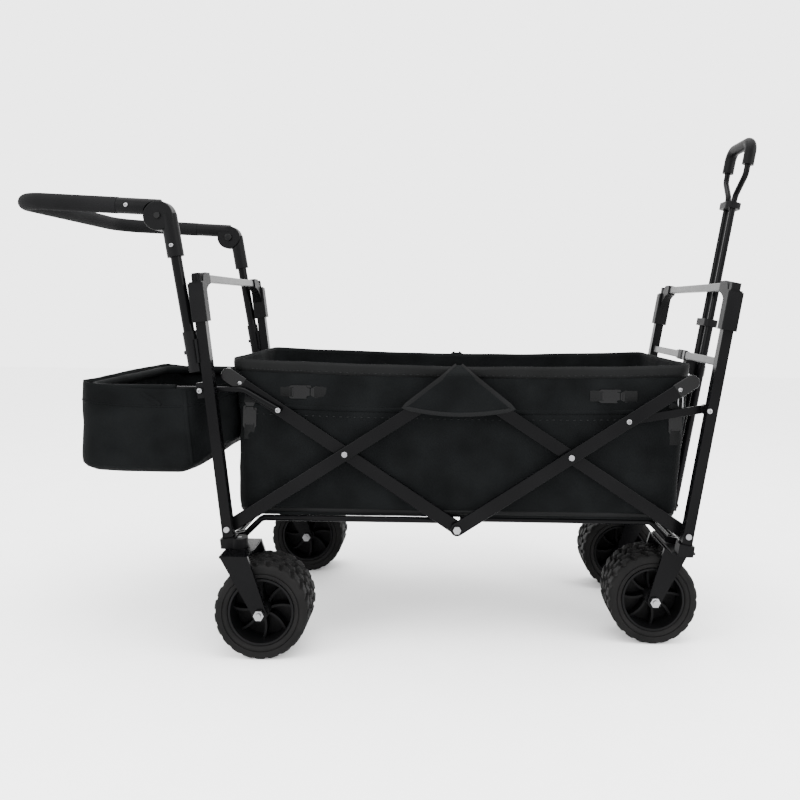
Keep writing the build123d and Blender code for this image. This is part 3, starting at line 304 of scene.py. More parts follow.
# ---- mesh making
class Draft:
    """A mesh in the making, from rows of points, outlines and paths."""

    def __init__(self) -> None:
        """Start an empty mesh."""
        self.mesh = bmesh.new()

    def piece(self, name: str, finish: Finish, sharp: float = 40.0) -> Piece:
        """Turn the mesh into a piece in the scene, which uses it up.

        Args:
            name: The piece's name.
            finish: Its finish.
            sharp: Edges that turn by more than this many degrees stay sharp.

        Returns:
            The new object.
        """
        bmesh.ops.recalc_face_normals(self.mesh, faces=self.mesh.faces[:])
        for face in self.mesh.faces:
            face.smooth = True
        for edge in self.mesh.edges:
            if len(edge.link_faces) == 2:
                edge.smooth = edge.calc_face_angle() < math.radians(sharp)
        data = bpy.data.meshes.new(name)
        self.mesh.to_mesh(data)
        self.mesh.free()
        data.materials.append(finish.build())
        obj = bpy.data.objects.new(name, data)
        bpy.context.scene.collection.objects.link(obj)
        return obj

    def skin(self, rows: Rows, around: bool, cap: bool = False) -> None:
        """Skin rows of points with four-sided faces.

        Args:
            rows: Rows of equally many points.
            around: Whether each row closes on itself.
            cap: Whether the first and last rows are filled.
        """
        made = [[self.mesh.verts.new(point) for point in row] for row in rows]
        count = len(rows[0])
        for first, second in zip(made, made[1:]):
            for n in range(count if around else count - 1):
                after = (n + 1) % count
                self.mesh.faces.new((first[n], first[after], second[after], second[n]))
        if cap:
            self.mesh.faces.new(made[0])
            self.mesh.faces.new(list(reversed(made[-1])))

    def sweep(self, path: Sequence[Vector], section: Section, normal: Vector | None = None) -> None:
        """Sweep a closed section along a path.

        Args:
            path: Points along the path.
            section: Points of the section, across and out.
            normal: The outward direction, where it stays the same; otherwise it is carried along.
        """
        rows = []
        out = normal or Vector((0, 0, 1))
        for n, point in enumerate(path):
            along = (path[min(n + 1, len(path) - 1)] - path[max(n - 1, 0)]).normalized()
            if normal is None:
                out = (out - along * out.dot(along)).normalized()
            across = along.cross(out).normalized()
            rows.append([point + across * a + out * b for a, b in section])
        self.skin(rows, around=True, cap=True)

    def plate(self, outline: Section, place: Callable[[float, float, float], Vector], depth: float) -> None:
        """Raise a flat outline to a depth.

        Args:
            outline: The outline's points.
            place: Turns across, up and out into a point.
            depth: How far it stands out.
        """
        self.skin([[place(a, b, out) for a, b in outline] for out in (0.0, depth)], around=True, cap=True)

    def weld(self, reach: float) -> None:
        """Join points that are no farther apart than a reach."""
        bmesh.ops.remove_doubles(self.mesh, verts=self.mesh.verts[:], dist=reach)

    def round_corners(self, width: float, sharp: float = 0.7) -> None:
        """Bevel the edges that turn by more than an angle in radians."""
        edges = [e for e in self.mesh.edges if len(e.link_faces) == 2 and e.calc_face_angle() > sharp]
        bmesh.ops.bevel(self.mesh, geom=edges, offset=width, segments=2, affect="EDGES", clamp_overlap=True)


def ring(radius: float, count: int) -> Section:
    """Points of a round section."""
    angles = [math.tau * n / count for n in range(count)]
    return [(radius * math.cos(a), radius * math.sin(a)) for a in angles]


def strap_section(width: float, thickness: float) -> Section:
    """Points of a flat strap's section, with thinner edges."""
    half, edge = width / 2, width / 2 - thickness
    low = thickness * 0.5
    return [(-edge, -low), (edge, -low), (half, 0), (edge, low), (-edge, low), (-half, 0)]


def thicken(obj: Piece, thickness: float) -> None:
    """Give a cloth its thickness, half of it on each side.

    Args:
        obj: The cloth.
        thickness: The thickness in metres.
    """
    modifier = obj.modifiers.new("thickness", "SOLIDIFY")
    modifier.thickness = thickness
    modifier.offset = 0.0
    bpy.context.view_layer.update()
    final = bpy.data.meshes.new_from_object(obj.evaluated_get(bpy.context.evaluated_depsgraph_get()))
    obj.modifiers.clear()
    obj.data = final


def crumple(point: Vector, size: float, seed: float) -> float:
    """A smooth value from about -1 to 1 that changes over a size.

    Args:
        point: Where it is wanted.
        size: Width of a crumple in metres.
        seed: Which of the patterns.

    Returns:
        The value.
    """
    return noise.noise(point / size + Vector((seed, 2 * seed, -seed)))


def ease(low: float, high: float, value: float) -> float:
    """A smooth step from 0 at low to 1 at high."""
    t = min(1.0, max(0.0, (value - low) / (high - low)))
    return t * t * (3 - 2 * t)


# ---- where things are
class Layout:
    """Places of the frame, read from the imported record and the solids."""

    def __init__(self, frame: dict) -> None:
        """Read the pivots and the open and folded span.

        Args:
            frame: The loaded frame.
        """
        self.joints = {joint["name"]: joint for joint in frame["joints"]}
        self.low_rear, self.low_front = self.pivot("fold"), self.pivot("front_frame_pivot")
        self.top_middle, self.bag_pivot = self.pivot("top_middle"), self.pivot("bag_frame_pivot")
        self.middle = self.top_middle.x
        self.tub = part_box("tub")
        self.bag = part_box("rear_bag")
        self.rise = self.top_middle.z - self.low_rear.z
        span = self.low_front.x - self.low_rear.x
        slope = math.atan2(2 * self.rise, span) + math.radians(self.joints["fold"]["range_deg"][1])
        self.keep = math.hypot(span, 2 * self.rise) * math.cos(slope) / span

    def pivot(self, joint: str) -> Vector:
        """Where a joint turns, at rest."""
        return Vector(self.joints[joint]["pos_m"])

    def bunch(self, obj: Piece) -> None:
        """Attach a cloth piece to the rear frame, so that it moves with the rear posts, and give it its own
        mesh.
        """
        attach(obj, "rear_frame")
        tuple(self.low_rear)
        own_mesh(obj)


# ---- wheels
@dataclass
class Tyre:
    """Wide off-road tyre with blocks in zigzag rows."""

    body: str
    node: str
    lugs: int = 22
    groove: float = 0.0040
    steps: int = 264
    shoulder: float = 0.008
    wall: float = 0.0268

    def build(self) -> Piece:
        """Make the tyre.

        Returns:
            The tyre piece.
        """
        low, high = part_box(self.node)
        middle, outer = (low + high) / 2, (high.z - low.z) / 2
        half = (high.y - low.y) / 2
        inner = outer - self.wall
        profile = self.profile(half, outer, inner)
        rows = []
        for step in range(self.steps):
            turn = step / self.steps
            row = []
            for y, radius, tread in profile:
                cut = self.cut(turn * self.lugs, y / half) * tread
                reach = radius - cut * self.groove
                angle = math.tau * turn
                row.append(middle + Vector((reach * math.cos(angle), y, reach * math.sin(angle))))
            rows.append(row)
        draft = Draft()
        draft.skin([*rows, rows[0]], around=True)
        draft.weld(1e-6)
        obj = draft.piece(f"{self.node}_tread", RUBBER, sharp=50)
        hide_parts(self.node)
        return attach(obj, self.body)

    def profile(self, half: float, outer: float, inner: float) -> list[tuple[float, float, float]]:
        """Points across the tyre, all the way round its section.

        Args:
            half: Half the tyre's width.
            outer: Radius over the blocks.
            inner: Radius on the rim.

        Returns:
            Y, radius and share of the tread's relief, for each point.
        """
        flat = half - self.shoulder
        points = [(y * flat / 20, outer, 1.0) for y in range(-20, 21)]
        for degrees in (20, 45, 70, 90):
            a = math.radians(degrees)
            share = max(0.0, 1.0 - degrees / 60)
            points.append(
                (flat + self.shoulder * math.sin(a), outer - self.shoulder * (1 - math.cos(a)), share)
            )
        wall = [(0.0, 0.0125, 0.0), (0.0, 0.0150, 0.0), (-0.0016, 0.0156, 0.0), (-0.0016, 0.0172, 0.0)]
        wall += [(0.0, 0.0178, 0.0), (0.0, 0.0225, 0.0), (-0.003, 0.0258, 0.0), (-0.007, self.wall, 0.0)]
        points += [(half + y, outer - down, share) for y, down, share in wall]
        right = [(-y, radius, share) for y, radius, share in reversed(points[41:])]
        return [*right, *points, (half * 0.5, inner, 0.0), (-half * 0.5, inner, 0.0)]

    def cut(self, turn: float, across: float) -> float:
        """How deep the tread is cut at a point.

        Args:
            turn: Place round the tyre, in blocks.
            across: Place across it, from -1 to 1.

        Returns:
            From 0 on a block to 1 in a groove.
        """
        zig = abs((turn % 1) * 2 - 1)
        lines = [0.34 + 0.10 * zig, -0.34 - 0.10 * (1 - zig), 0.05 * (2 * zig - 1)]
        along = max(1 - ease(0.035, 0.06, abs(across - line)) for line in lines)
        row = sum(across > line for line in lines)
        shift = (0.0, 0.5, 0.15, 0.65)[row]
        slant = 0.55 * abs(across)
        place = (turn + shift + slant) % 1
        gap = 0.17 if row in (1, 2) else 0.24
        side = 1 - ease(gap * 0.5, gap * 0.5 + 0.07, abs(place - 0.5))
        return max(along, side)


# ---- cloth shells
@dataclass
class Shell:
    """Open-topped cloth shell, lofted from its rim over its sides and floor."""

    name: str
    low: Vector
    high: Vector
    corner: float = 0.03
    roundness: float = 0.02
    flare: float = 0.0
    rear_flare: float = 0.0
    droop: float = 0.0
    folds: float = 0.003
    seed: float = 1.0
    rows: int = 26
    columns: int = 60
    floor_line: Callable[[float], float] = field(default=lambda share: 0.0)
    widen: Callable[[float, float], float] = field(default=lambda share, down: 0.0)

    def rim_loop(self) -> list[tuple[float, float]]:
        """Points round the rim, seen from above, as shares of the box from -1 to 1.

        Returns:
            The share of the length and of the width, for each point.
        """
        half_x, half_y = (self.high.x - self.low.x) / 2, (self.high.y - self.low.y) / 2
        loop = []
        for sx, sy, start in ((1, 1, 0), (-1, 1, 90), (-1, -1, 180), (1, -1, 270)):
            centre = (sx * (half_x - self.corner), sy * (half_y - self.corner))
            for step in range(7):
                a = math.radians(start + step * 15)
                loop.append((centre[0] + self.corner * math.cos(a), centre[1] + self.corner * math.sin(a)))
        dense = []
        for n, (x, y) in enumerate(loop):
            nx, ny = loop[(n + 1) % len(loop)]
            length = math.hypot(nx - x, ny - y)
            count = max(1, round(length / (2 * half_x) * self.columns))
            dense += [(x + (nx - x) * k / count, y + (ny - y) * k / count) for k in range(count)]
        return [(x / half_x, y / half_y) for x, y in dense]

    def point(self, across: tuple[float, float], down: float) -> Vector:
        """A point of the side wall.

        Args:
            across: Shares of the length and the width.
            down: 0 at the rim and 1 at the floor's edge.

        Returns:
            The point.
        """
        sx, sy = across
        middle, half = (self.low + self.high) / 2, (self.high - self.low) / 2
        front = (sx + 1) / 2
        bottom = self.low.z + self.floor_line(front)
        rim = self.high.z - self.droop * (1 - sx * sx) * (abs(sy) > 0.98)
        z = rim + (bottom - rim) * down
        round_in = self.roundness * (1 - math.sqrt(max(0.0, 1 - ease(0.88, 1.0, down) ** 2)))
        x = middle.x + sx * (half.x - round_in)
        x -= self.flare * down * ease(0.0, 1.0, front) * max(0.0, sx)
        x -= self.rear_flare * (1 - ease(0.0, 0.5, down)) * max(0.0, -sx) ** 3
        y = middle.y + sy * (half.y - round_in + self.widen(front, down))
        point = Vector((x, y, z))
        fold = crumple(Vector((x, y, z * 0.45)), 0.075, self.seed)
        fold += 0.5 * crumple(Vector((x + z * 0.6, y + z * 0.6, z * 0.7)), 0.035, self.seed + 4)
        hold = 0.35 + 0.65 * math.sin(math.pi * min(1.0, down + 0.05)) ** 0.7
        inward = (fold - 0.7) * self.folds * hold
        if abs(sy) > 0.999 or abs(sy) > abs(sx):
            point.y += math.copysign(inward, sy)
        else:
            point.x += math.copysign(inward, sx)
        point.z -= 0.3 * self.folds * crumple(point, 0.09, self.seed + 9) * ease(0.2, 0.0, down)
        return point

    def build(self, finish: Finish, thickness: float) -> Piece:
        """Make the shell.

        Args:
            finish: Its cloth.
            thickness: The cloth's thickness in metres.

        Returns:
            The shell piece.
        """
        loop = self.rim_loop()
        rows = [[self.point(across, n / self.rows) for across in loop] for n in range(self.rows + 1)]
        edge = rows[-1]
        centre_x = (self.low.x + self.high.x) / 2
        reach = abs((self.high.x - self.low.x) - (self.high.y - self.low.y)) / 2
        for n in range(1, 9):
            share = n / 8
            row = []
            for point in edge:
                spine = Vector((centre_x + max(-reach, min(reach, point.x - centre_x)), 0, point.z))
                where = point.lerp(spine, share * 0.995)
                where.z = self.floor_height(where.x) + 0.4 * self.folds * crumple(where, 0.08, self.seed + 2)
                row.append(where)
            rows.append(row)
        draft = Draft()
        draft.skin(rows, around=True)
        draft.weld(0.0012)
        holes = [e for e in draft.mesh.edges if e.is_boundary and e.verts[0].co.z < self.low.z + 0.12]
        if holes:
            bmesh.ops.holes_fill(draft.mesh, edges=holes, sides=400)
        obj = draft.piece(self.name, finish, sharp=70)
        thicken(obj, thickness)
        return obj

    def floor_height(self, x: float) -> float:
        """Height of the floor at a place along the shell."""
        return self.low.z + self.floor_line((x - self.low.x) / (self.high.x - self.low.x))

    def band(
        self, name: str, down: float, height: float, out: float, finish: Finish, rows: int = 3
    ) -> Piece:
        """A strip of cloth or binding sewn round the shell.

        Args:
            name: The piece's name.
            down: Where its upper edge is, from 0 at the rim to 1 at the floor.
            height: Its height in metres.
            out: How far it stands out of the cloth.
            finish: Its finish.
            rows: How many rows of faces it has.

        Returns:
            The band piece.
        """
        loop = self.rim_loop()
        depth = self.high.z - self.low.z
        skin_rows = []
        for n in range(rows + 1):
            share = down + height / depth * n / rows
            bulge = out * (1.0 if 0 < n < rows else 0.45)
            row = []
            for across in loop:
                point = self.point(across, share)
                sx, sy = across
                away = Vector((sx ** 9, sy ** 9, 0))
                if away.length > 0.01:
                    point += away.normalized() * bulge
                row.append(point)
            skin_rows.append(row)
        draft = Draft()
        draft.skin(skin_rows, around=True)
        obj = draft.piece(name, finish, sharp=60)
        thicken(obj, 0.0012)
        return obj


@dataclass
class Stitches:
    """A row of thread stitches along a line on a side."""

    name: str
    length: float = 0.0042
    gap: float = 0.0030
    radius: float = 0.0005

    def build(self, lines: Iterable[Sequence[Vector]]) -> Piece:
        """Make the stitches.

        Args:
            lines: The lines that they follow, each a few points.

        Returns:
            The stitches as one piece.
        """
        draft = Draft()
        for line in lines:
            for start, end in zip(line, line[1:]):
                along = end - start
                count = int(along.length / (self.length + self.gap))
                for n in range(count):
                    a = start + along * (n / count)
                    b = a + along.normalized() * self.length
                    draft.sweep([a, (a + b) / 2, b], ring(self.radius, 5))
        return draft.piece(self.name, STITCH, sharp=80)


# ---- tub
@dataclass
class TubCloth:
    """The wagon's cloth tub with its rim binding, seam, piping, stitches and apex pockets."""

    layout: Layout
    seam_z: float = 0.468
    binding: float = 0.024
    thickness: float = 0.0022
    pocket_half: float = 0.107
    pocket_low: float = 0.459
    pocket_corner: float = 0.471
    pocket_in: float = 0.2120
    pocket_out: float = 0.2395
    pocket_tip: float = 0.004
    pocket_slack: float = 0.03

    def build(self) -> Piece:
        """Make the tub's cloth and what is sewn to it.

        Returns:
            The tub shell.
        """
        low, high = self.layout.tub
        flare = high.x - self.layout.low_front.x + 0.008
        shell = Shell(
            "tub_cloth", low + Vector((0.002, 0.002, -0.0028)), high - Vector((0.002, 0.002, -0.007)),
            corner=0.022, roundness=0.006, flare=max(0.0, flare), rear_flare=0.017, droop=0.010,
            folds=0.0042, seed=3.0, rows=34, columns=96,
        )
        tub = shell.build(OXFORD, self.thickness)
        depth = high.z - low.z
        rim = shell.band("tub_rim_binding", 0.0, self.binding, 0.0020, WEBBING)
        seam = shell.band("tub_seam_tape", (high.z - self.seam_z) / depth, 0.010, 0.0016, OXFORD)
        hem = shell.band("tub_bottom_piping", 0.955, 0.009, 0.0018, WEBBING)
        stitches = Stitches("tub_stitches").build(self.stitch_lines(shell, depth))
        sewn = [rim, seam, hem, stitches]
        for obj in (*sewn, tub):
            self.layout.bunch(obj)
        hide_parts("tub")
        for side in Side:
            self.pocket(side)
        return tub

    def stitch_lines(self, shell: Shell, depth: float) -> list[list[Vector]]:
        """Lines of stitches along the rim and the seam.

        Args:
            shell: The tub's shape.
            depth: The tub's depth.

        Returns:
            The lines, on both sides.
        """
        lines = []
        for down in (0.018 / depth, (shell.high.z - self.seam_z + 0.013) / depth):
            for sign in (-1, 1):
                line = [
                    shell.point((-0.92 + 1.84 * n / 60, sign), down) + Vector((0, sign * 0.0028, 0))
                    for n in range(61)
                ]
                lines.append(line)
        return lines

    def pocket(self, side: Side) -> None:
        """Make the three-cornered pocket that holds the tub up on the bars' top pivot.

        Args:
            side: The side of the wagon.
        """
        sign = side.value
        top = self.layout.tub[1].z - 0.001
        x0 = self.layout.middle
        rows = []
        for n in range(15):
            down = n / 14
            row = []
            for k in range(25):
                across = k / 12 - 1
                x = x0 + across * (self.pocket_tip + (self.pocket_half - self.pocket_tip) * down)
                sag = (self.pocket_corner - self.pocket_low) * down * (1 - across * across)
                z = top - down * (top - self.pocket_corner) - sag
                out = self.pocket_in + (self.pocket_out - self.pocket_in) * ease(top, top - 0.02, z)
                out += 0.0012 * crumple(Vector((x, 0, z)), 0.03, 5.0 + sign) * ease(0, 0.4, down)
                row.append(Vector((x, sign * out, z)))
            rows.append(row)
        draft = Draft()
        draft.skin(rows, around=False)
        obj = draft.piece(f"apex_pocket_{side.name.lower()}", OXFORD, sharp=80)
        thicken(obj, 0.0018)
        edging = Draft()
        border = [row[0] for row in rows] + rows[-1][1:] + [row[-1] for row in reversed(rows[:-1])]
        edging.sweep(border, strap_section(0.010, 0.0022), normal=Vector((0, sign, 0)))
        binding = edging.piece(f"apex_pocket_binding_{side.name.lower()}", WEBBING, sharp=70)
        start, end = (x0 - 0.03, 0, top), (x0 + 0.03, 0, top)
        for piece in (obj, binding):
            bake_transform(piece)
            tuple(start)
            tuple(end)


# ---- floor mat
@dataclass
class MatCloth:
    """Folding mat of four stiff padded panels under one cover."""

    layout: Layout
    panels: int = 4
    gap: float = 0.006
    crown: float = 0.0025

    def build(self) -> Piece:
        """Make the mat.

        Returns:
            The mat piece.
        """
        low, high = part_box("floor_mat")
        draft = Draft()
        pitch = (high.x - low.x + self.gap) / self.panels
        for number in range(self.panels):
            start = Vector((low.x + number * pitch, low.y, low.z))
            self.panel(draft, start, Vector((start.x + pitch - self.gap, high.y, high.z)))
        obj = draft.piece("floor_mat_cover", LINING, sharp=60)
        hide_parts("floor_mat")
        self.layout.bunch(obj)
        return obj

    def panel(self, draft: Draft, low: Vector, high: Vector) -> None:
        """Add one crowned panel with a sewn channel round its edge.

        Args:
            draft: The mesh to add to.
            low: Its lowest corner.
            high: Its highest corner.
        """
        count = 18
        for top in (True, False):
            rows = []
            for n in range(count + 1):
                row = []
                for k in range(count + 1):
                    u, v = n / count, k / count
                    x, y = low.x + (high.x - low.x) * u, low.y + (high.y - low.y) * v
                    edge = min(u, 1 - u) * (high.x - low.x), min(v, 1 - v) * (high.y - low.y)
                    near = min(edge)
                    full = math.sqrt(ease(-0.001, 0.012, near))
                    groove = 0.0016 * (1 - ease(0.0, 0.006, abs(near - 0.022)))
                    middle = (low.z + high.z) / 2
                    half = (high.z - low.z) / 2 - self.crown * (1 - ease(0.0, 0.06, near))
                    wave = 0.0006 * crumple(Vector((x, y, 0)), 0.06, 7.0)
                    z = middle + (half * full - groove + wave if top else -half * full)
                    row.append(Vector((x, y, z)))
                rows.append(row)
            draft.skin(rows, around=False)
        draft.weld(2e-5)


# ---- rear bag
@dataclass
class BagCloth:
    """Open storage bag that hangs from the tube behind the rear posts."""

    layout: Layout
    thickness: float = 0.002
    tube_radius: float = 0.0055
    rim_rise: float = 0.0125
    sleeve_radius: float = 0.0074
    sleeve_start: float = 0.055
    bend: float = 0.048
    seam_back: float = 0.085
    overhang: float = 0.0262

    @staticmethod
    def belly(share: float) -> float:
        """Height of the bag's floor over its lowest point, along the bag.

        Args:
            share: 0 at the back and 1 at the front.

        Returns:
            The height in metres.
        """
        return 0.003 * (1 - ease(0.0, 0.35, share)) + 0.052 * ease(0.66, 1.0, share) ** 1.4

    def build(self) -> Piece:
        """Make the bag, its sleeve, seams and hem.

        Returns:
            The bag shell.
        """
        low, high = self.layout.bag
        back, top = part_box("bag_tube")[0].x - self.tube_radius, self.layout.bag_pivot.z + self.rim_rise
        shell = Shell(
            "rear_bag_cloth", Vector((back, low.y, low.z + 0.001)), Vector((high.x - 0.001, high.y, top)),
            corner=0.030, roundness=0.016, folds=0.0055, seed=11.0, rows=26, columns=48, droop=0.011,
            floor_line=self.belly, widen=self.widen,
        )
        bag = shell.build(OXFORD, self.thickness)
        tape = self.seams(shell)
        sleeve = self.sleeve()
        hem = shell.band("rear_bag_hem", 0.20, 0.004, 0.0014, OXFORD)
        for obj in (bag, tape, hem):
            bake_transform(obj)
        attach(sleeve, "bag_frame")
        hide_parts("rear_bag")
        return bag

    def widen(self, share: float, down: float) -> float:
        """How far the side stands out beside the bag's box, so that its top meets the tube.

        Args:
            share: 0 at the back and 1 at the front.
            down: 0 at the rim and 1 at the floor.

        Returns:
            The distance in metres.
        """
        outside = self.overhang * (1 - ease(0.72, 0.86, share))
        return outside - 0.004 * ease(0.0, 0.8, down)

    def tube_line(self) -> list[Vector]:
        """Points along the bag tube, from one side round the back to the other.

        Returns:
            The points of its centre line.
        """
        low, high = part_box("bag_tube")
        z = self.layout.bag_pivot.z
        back, side = low.x + self.tube_radius, high.y - self.tube_radius
        front = self.layout.bag_pivot.x - self.sleeve_start
        half = [Vector((front + (back + self.bend - front) * n / 12, side, z)) for n in range(13)]
        for n in range(1, 9):
            a = math.radians(90 * n / 8)
            half.append(
                Vector((back + self.bend * (1 - math.sin(a)), side - self.bend * (1 - math.cos(a)), z))
            )
        straight = [Vector((back, (side - self.bend) * (1 - n / 10), z)) for n in range(1, 11)]
        left = [*half, *straight]
        return [*left, *[Vector((p.x, -p.y, p.z)) for p in reversed(left[:-1])]]

    def sleeve(self) -> Piece:
        """Make the hem sleeve round the bag tube.

        Returns:
            The sleeve piece.
        """
        line = self.tube_line()
        rows = []
        out = Vector((0, 0, 1))
        for n, point in enumerate(line):
            along = (line[min(n + 1, len(line) - 1)] - line[max(n - 1, 0)]).normalized()
            across = along.cross(out).normalized()
            row = []
            for k in range(18):
                a = math.tau * k / 18
                uneven = crumple(point + Vector((0, 0, k * 0.01)), 0.025, 2.0)
                swell = self.sleeve_radius * (1 + 0.10 * uneven)
                drop = 0.004 * max(0.0, -math.sin(a)) ** 3
                row.append(point + across * swell * math.cos(a) + out * (swell * math.sin(a) - drop))
            rows.append(row)
        draft = Draft()
        draft.skin(rows, around=True)
        obj = draft.piece("rear_bag_sleeve", OXFORD, sharp=80)
        thicken(obj, 0.0014)
        return obj

    def seams(self, shell: Shell) -> Piece:
        """Make the standing seams and the flap's edge on both sides.

        Args:
            shell: The bag's shape.

        Returns:
            The seam tapes as one piece.
        """
        draft = Draft()
        span = shell.high.x - shell.low.x
        for sign in (-1, 1):
            for share, low, high in ((1 - self.seam_back / span, 0.02, 0.93), (0.42, 0.04, 0.19)):
                path = []
                for n in range(14):
                    down = low + (high - low) * n / 13
                    lean = 0.05 * down if share > 0.5 else 0.9 * (down - low)
                    point = shell.point(((share + lean) * 2 - 1, sign), down)
                    path.append(point + Vector((0, sign * 0.0018, 0)))
                draft.sweep(path, strap_section(0.007, 0.0018), normal=Vector((0, sign, 0)))
        return draft.piece("rear_bag_seams", OXFORD, sharp=70)


# ---- straps and buckles
@dataclass
class BuckleStrap:
    """A side-release buckle with its two webbing ends, lying on a side of the tub."""

    name: str
    side: Side
    centre: Vector
    turned: bool
    reach: float
    body: float = 0.058
    height: float = 0.0265
    depth: float = 0.0040
    web: float = 0.022

    def place(self, across: float, up: float, out: float) -> Vector:
        """Turn the buckle's own across, up and out into a point."""
        if self.turned:
            across, up = -up, across
        sign = self.side.value
        return Vector((self.centre.x + across, self.centre.y + sign * out, self.centre.z + up))

    def build(self) -> list[Piece]:
        """Make the buckle and its webbing.

        Returns:
            The buckle and the webbing pieces.
        """
        draft = Draft()
        half, tall = self.body / 2, self.height / 2
        socket = [(-half, -tall * 0.82), (-half + 0.004, -tall), (0.004, -tall), (0.007, -tall * 0.6)]
        socket += [(0.012, -tall * 0.55), (0.012, tall * 0.55), (0.007, tall * 0.6)]
        socket += [(0.004, tall), (-half + 0.004, tall), (-half, tall * 0.82)]
        draft.plate(socket, self.place, self.depth)
        plug = [(0.0135, -tall * 0.5), (0.0135, tall * 0.5), (half - 0.006, tall * 0.9), (half, tall * 0.82)]
        plug += [(half, -tall * 0.82), (half - 0.006, -tall * 0.9)]
        draft.plate(plug, self.place, self.depth * 0.8)
        for sign in (-1, 1):
            prong = [(0.001, sign * tall * 0.66), (0.002, sign * tall * 1.04), (0.013, sign * tall * 0.98)]
            prong += [(0.0155, sign * tall * 0.66)]
            draft.plate(prong, self.place, self.depth * 0.6)
        draft.round_corners(0.0009)
        for start in (-half + 0.006, half - 0.011):
            end, rise = start + 0.003, tall * 0.6
            bar = [(start, -rise), (end, -rise), (end, rise), (start, rise)]
            draft.plate(bar, self.place, self.depth + 0.0007)
        buckle = draft.piece(f"{self.name}_buckle", GLOSS, sharp=35)
        web = Draft()
        for sign in (-1, 1):
            span = self.reach - half + 0.008
            path = []
            for n in range(9):
                share = n / 8
                lift = self.depth * 0.5 * (1 - ease(0.1, 0.8, share)) + 0.0014
                path.append(self.place(sign * (half - 0.008 + span * share), 0.0, lift))
            normal = Vector((0, self.side.value, 0))
            web.sweep(path, strap_section(self.web, 0.0020), normal=normal)
        webbing = web.piece(f"{self.name}_webbing", WEBBING, sharp=60)
        return [buckle, webbing]


@dataclass
class StrapSet:
    """All the straps on the tub's sides."""

    layout: Layout
    lying_up: float = 0.263
    lying_in: float = 0.137
    corner_up: float = 0.220
    rear_corner_in: float = 0.030
    front_corner_in: float = 0.015
    wire: float = 0.0016
    wire_ahead: float = 0.010
    wire_up: float = 0.034
    wire_half: tuple[float, float] = (0.0045, 0.017)

    def build(self) -> list[Piece]:
        """Make every buckle and strap, and the wire loops at the front corners.

        Returns:
            The pieces.
        """
        made: list[Piece] = []
        skin = self.layout.tub[1].y - 0.0006
        rear, front, z = self.layout.low_rear.x, self.layout.low_front.x, self.layout.low_rear.z
        for side in Side:
            sign, label = side.value, side.name.lower()
            y = sign * skin
            spots = {
                f"rear_side_{label}": (rear + self.lying_in, z + self.lying_up, False),
                f"front_side_{label}": (front - self.lying_in, z + self.lying_up, False),
                f"rear_corner_{label}": (rear + self.rear_corner_in, z + self.corner_up, True),
                f"front_corner_{label}": (front - self.front_corner_in, z + self.corner_up, True),
            }
            for name, (x, up, turned) in spots.items():
                reach = 0.052 if turned else 0.047
                made += BuckleStrap(name, side, Vector((x, y, up)), turned, reach).build()
            ahead, up = self.wire_ahead - self.front_corner_in, self.corner_up + self.wire_up
            made.append(self.wire_loop(side, Vector((front + ahead, y, z + up))))
        for obj in made:
            slots = {"webbing": "black_fabric", "wire": "zinc"}
            next((slots[key] for key in slots if key in obj.name), "dark_plastic")
            self.layout.bunch(obj)
        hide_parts("strap_buckles")
        return made

    def wire_loop(self, side: Side, centre: Vector) -> Piece:
        """Make a tall wire loop over a corner strap.

        Args:
            side: The side of the wagon.
            centre: Its middle.

        Returns:
            The loop piece.
        """
        sign = side.value
        path = []
        for n in range(25):
            a = math.tau * n / 24
            across, up = (math.copysign(abs(v) ** 0.6, v) for v in (math.cos(a), math.sin(a)))
            wide, tall = self.wire_half
            path.append(centre + Vector((wide * across, sign * 0.0028, tall * up)))
        draft = Draft()
        draft.sweep(path, ring(self.wire, 8), normal=Vector((0, sign, 0)))
        return draft.piece(f"corner_wire_{side.name.lower()}", ZINC, sharp=60)


# ---- small hardware
@dataclass
class PanScrew:
    """Domed screw head with a star recess."""

    name: str
    body: str
    centre: Vector
    out: Vector
    radius: float = 0.0052
    height: float = 0.0026
    recess: float = 0.0014

    def build(self) -> Piece:
        """Make the screw head.

        Returns:
            The screw piece.
        """
        floor, top = -self.recess * 0.4, self.height
        profile = [(0.0, floor), (0.42, floor), (0.46, top), (0.7, top * 0.9), (0.92, top * 0.55), (1.0, 0.0)]
        turn = Vector((0, 0, 1)).rotation_difference(self.out).to_matrix()
        rows = []
        for share, up in profile:
            row = []
            for n in range(24):
                a = math.tau * n / 24
                star = 1 - 0.16 * (n % 4 == 0) if share in (0.42, 0.46) else 1.0
                reach = self.radius * max(share, 0.01) * star
                row.append(self.centre + turn @ Vector((reach * math.cos(a), reach * math.sin(a), up)))
            rows.append(row)
        draft = Draft()
        draft.skin(rows, around=True, cap=True)
        obj = draft.piece(self.name, ZINC, sharp=35)
        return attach(obj, self.body)


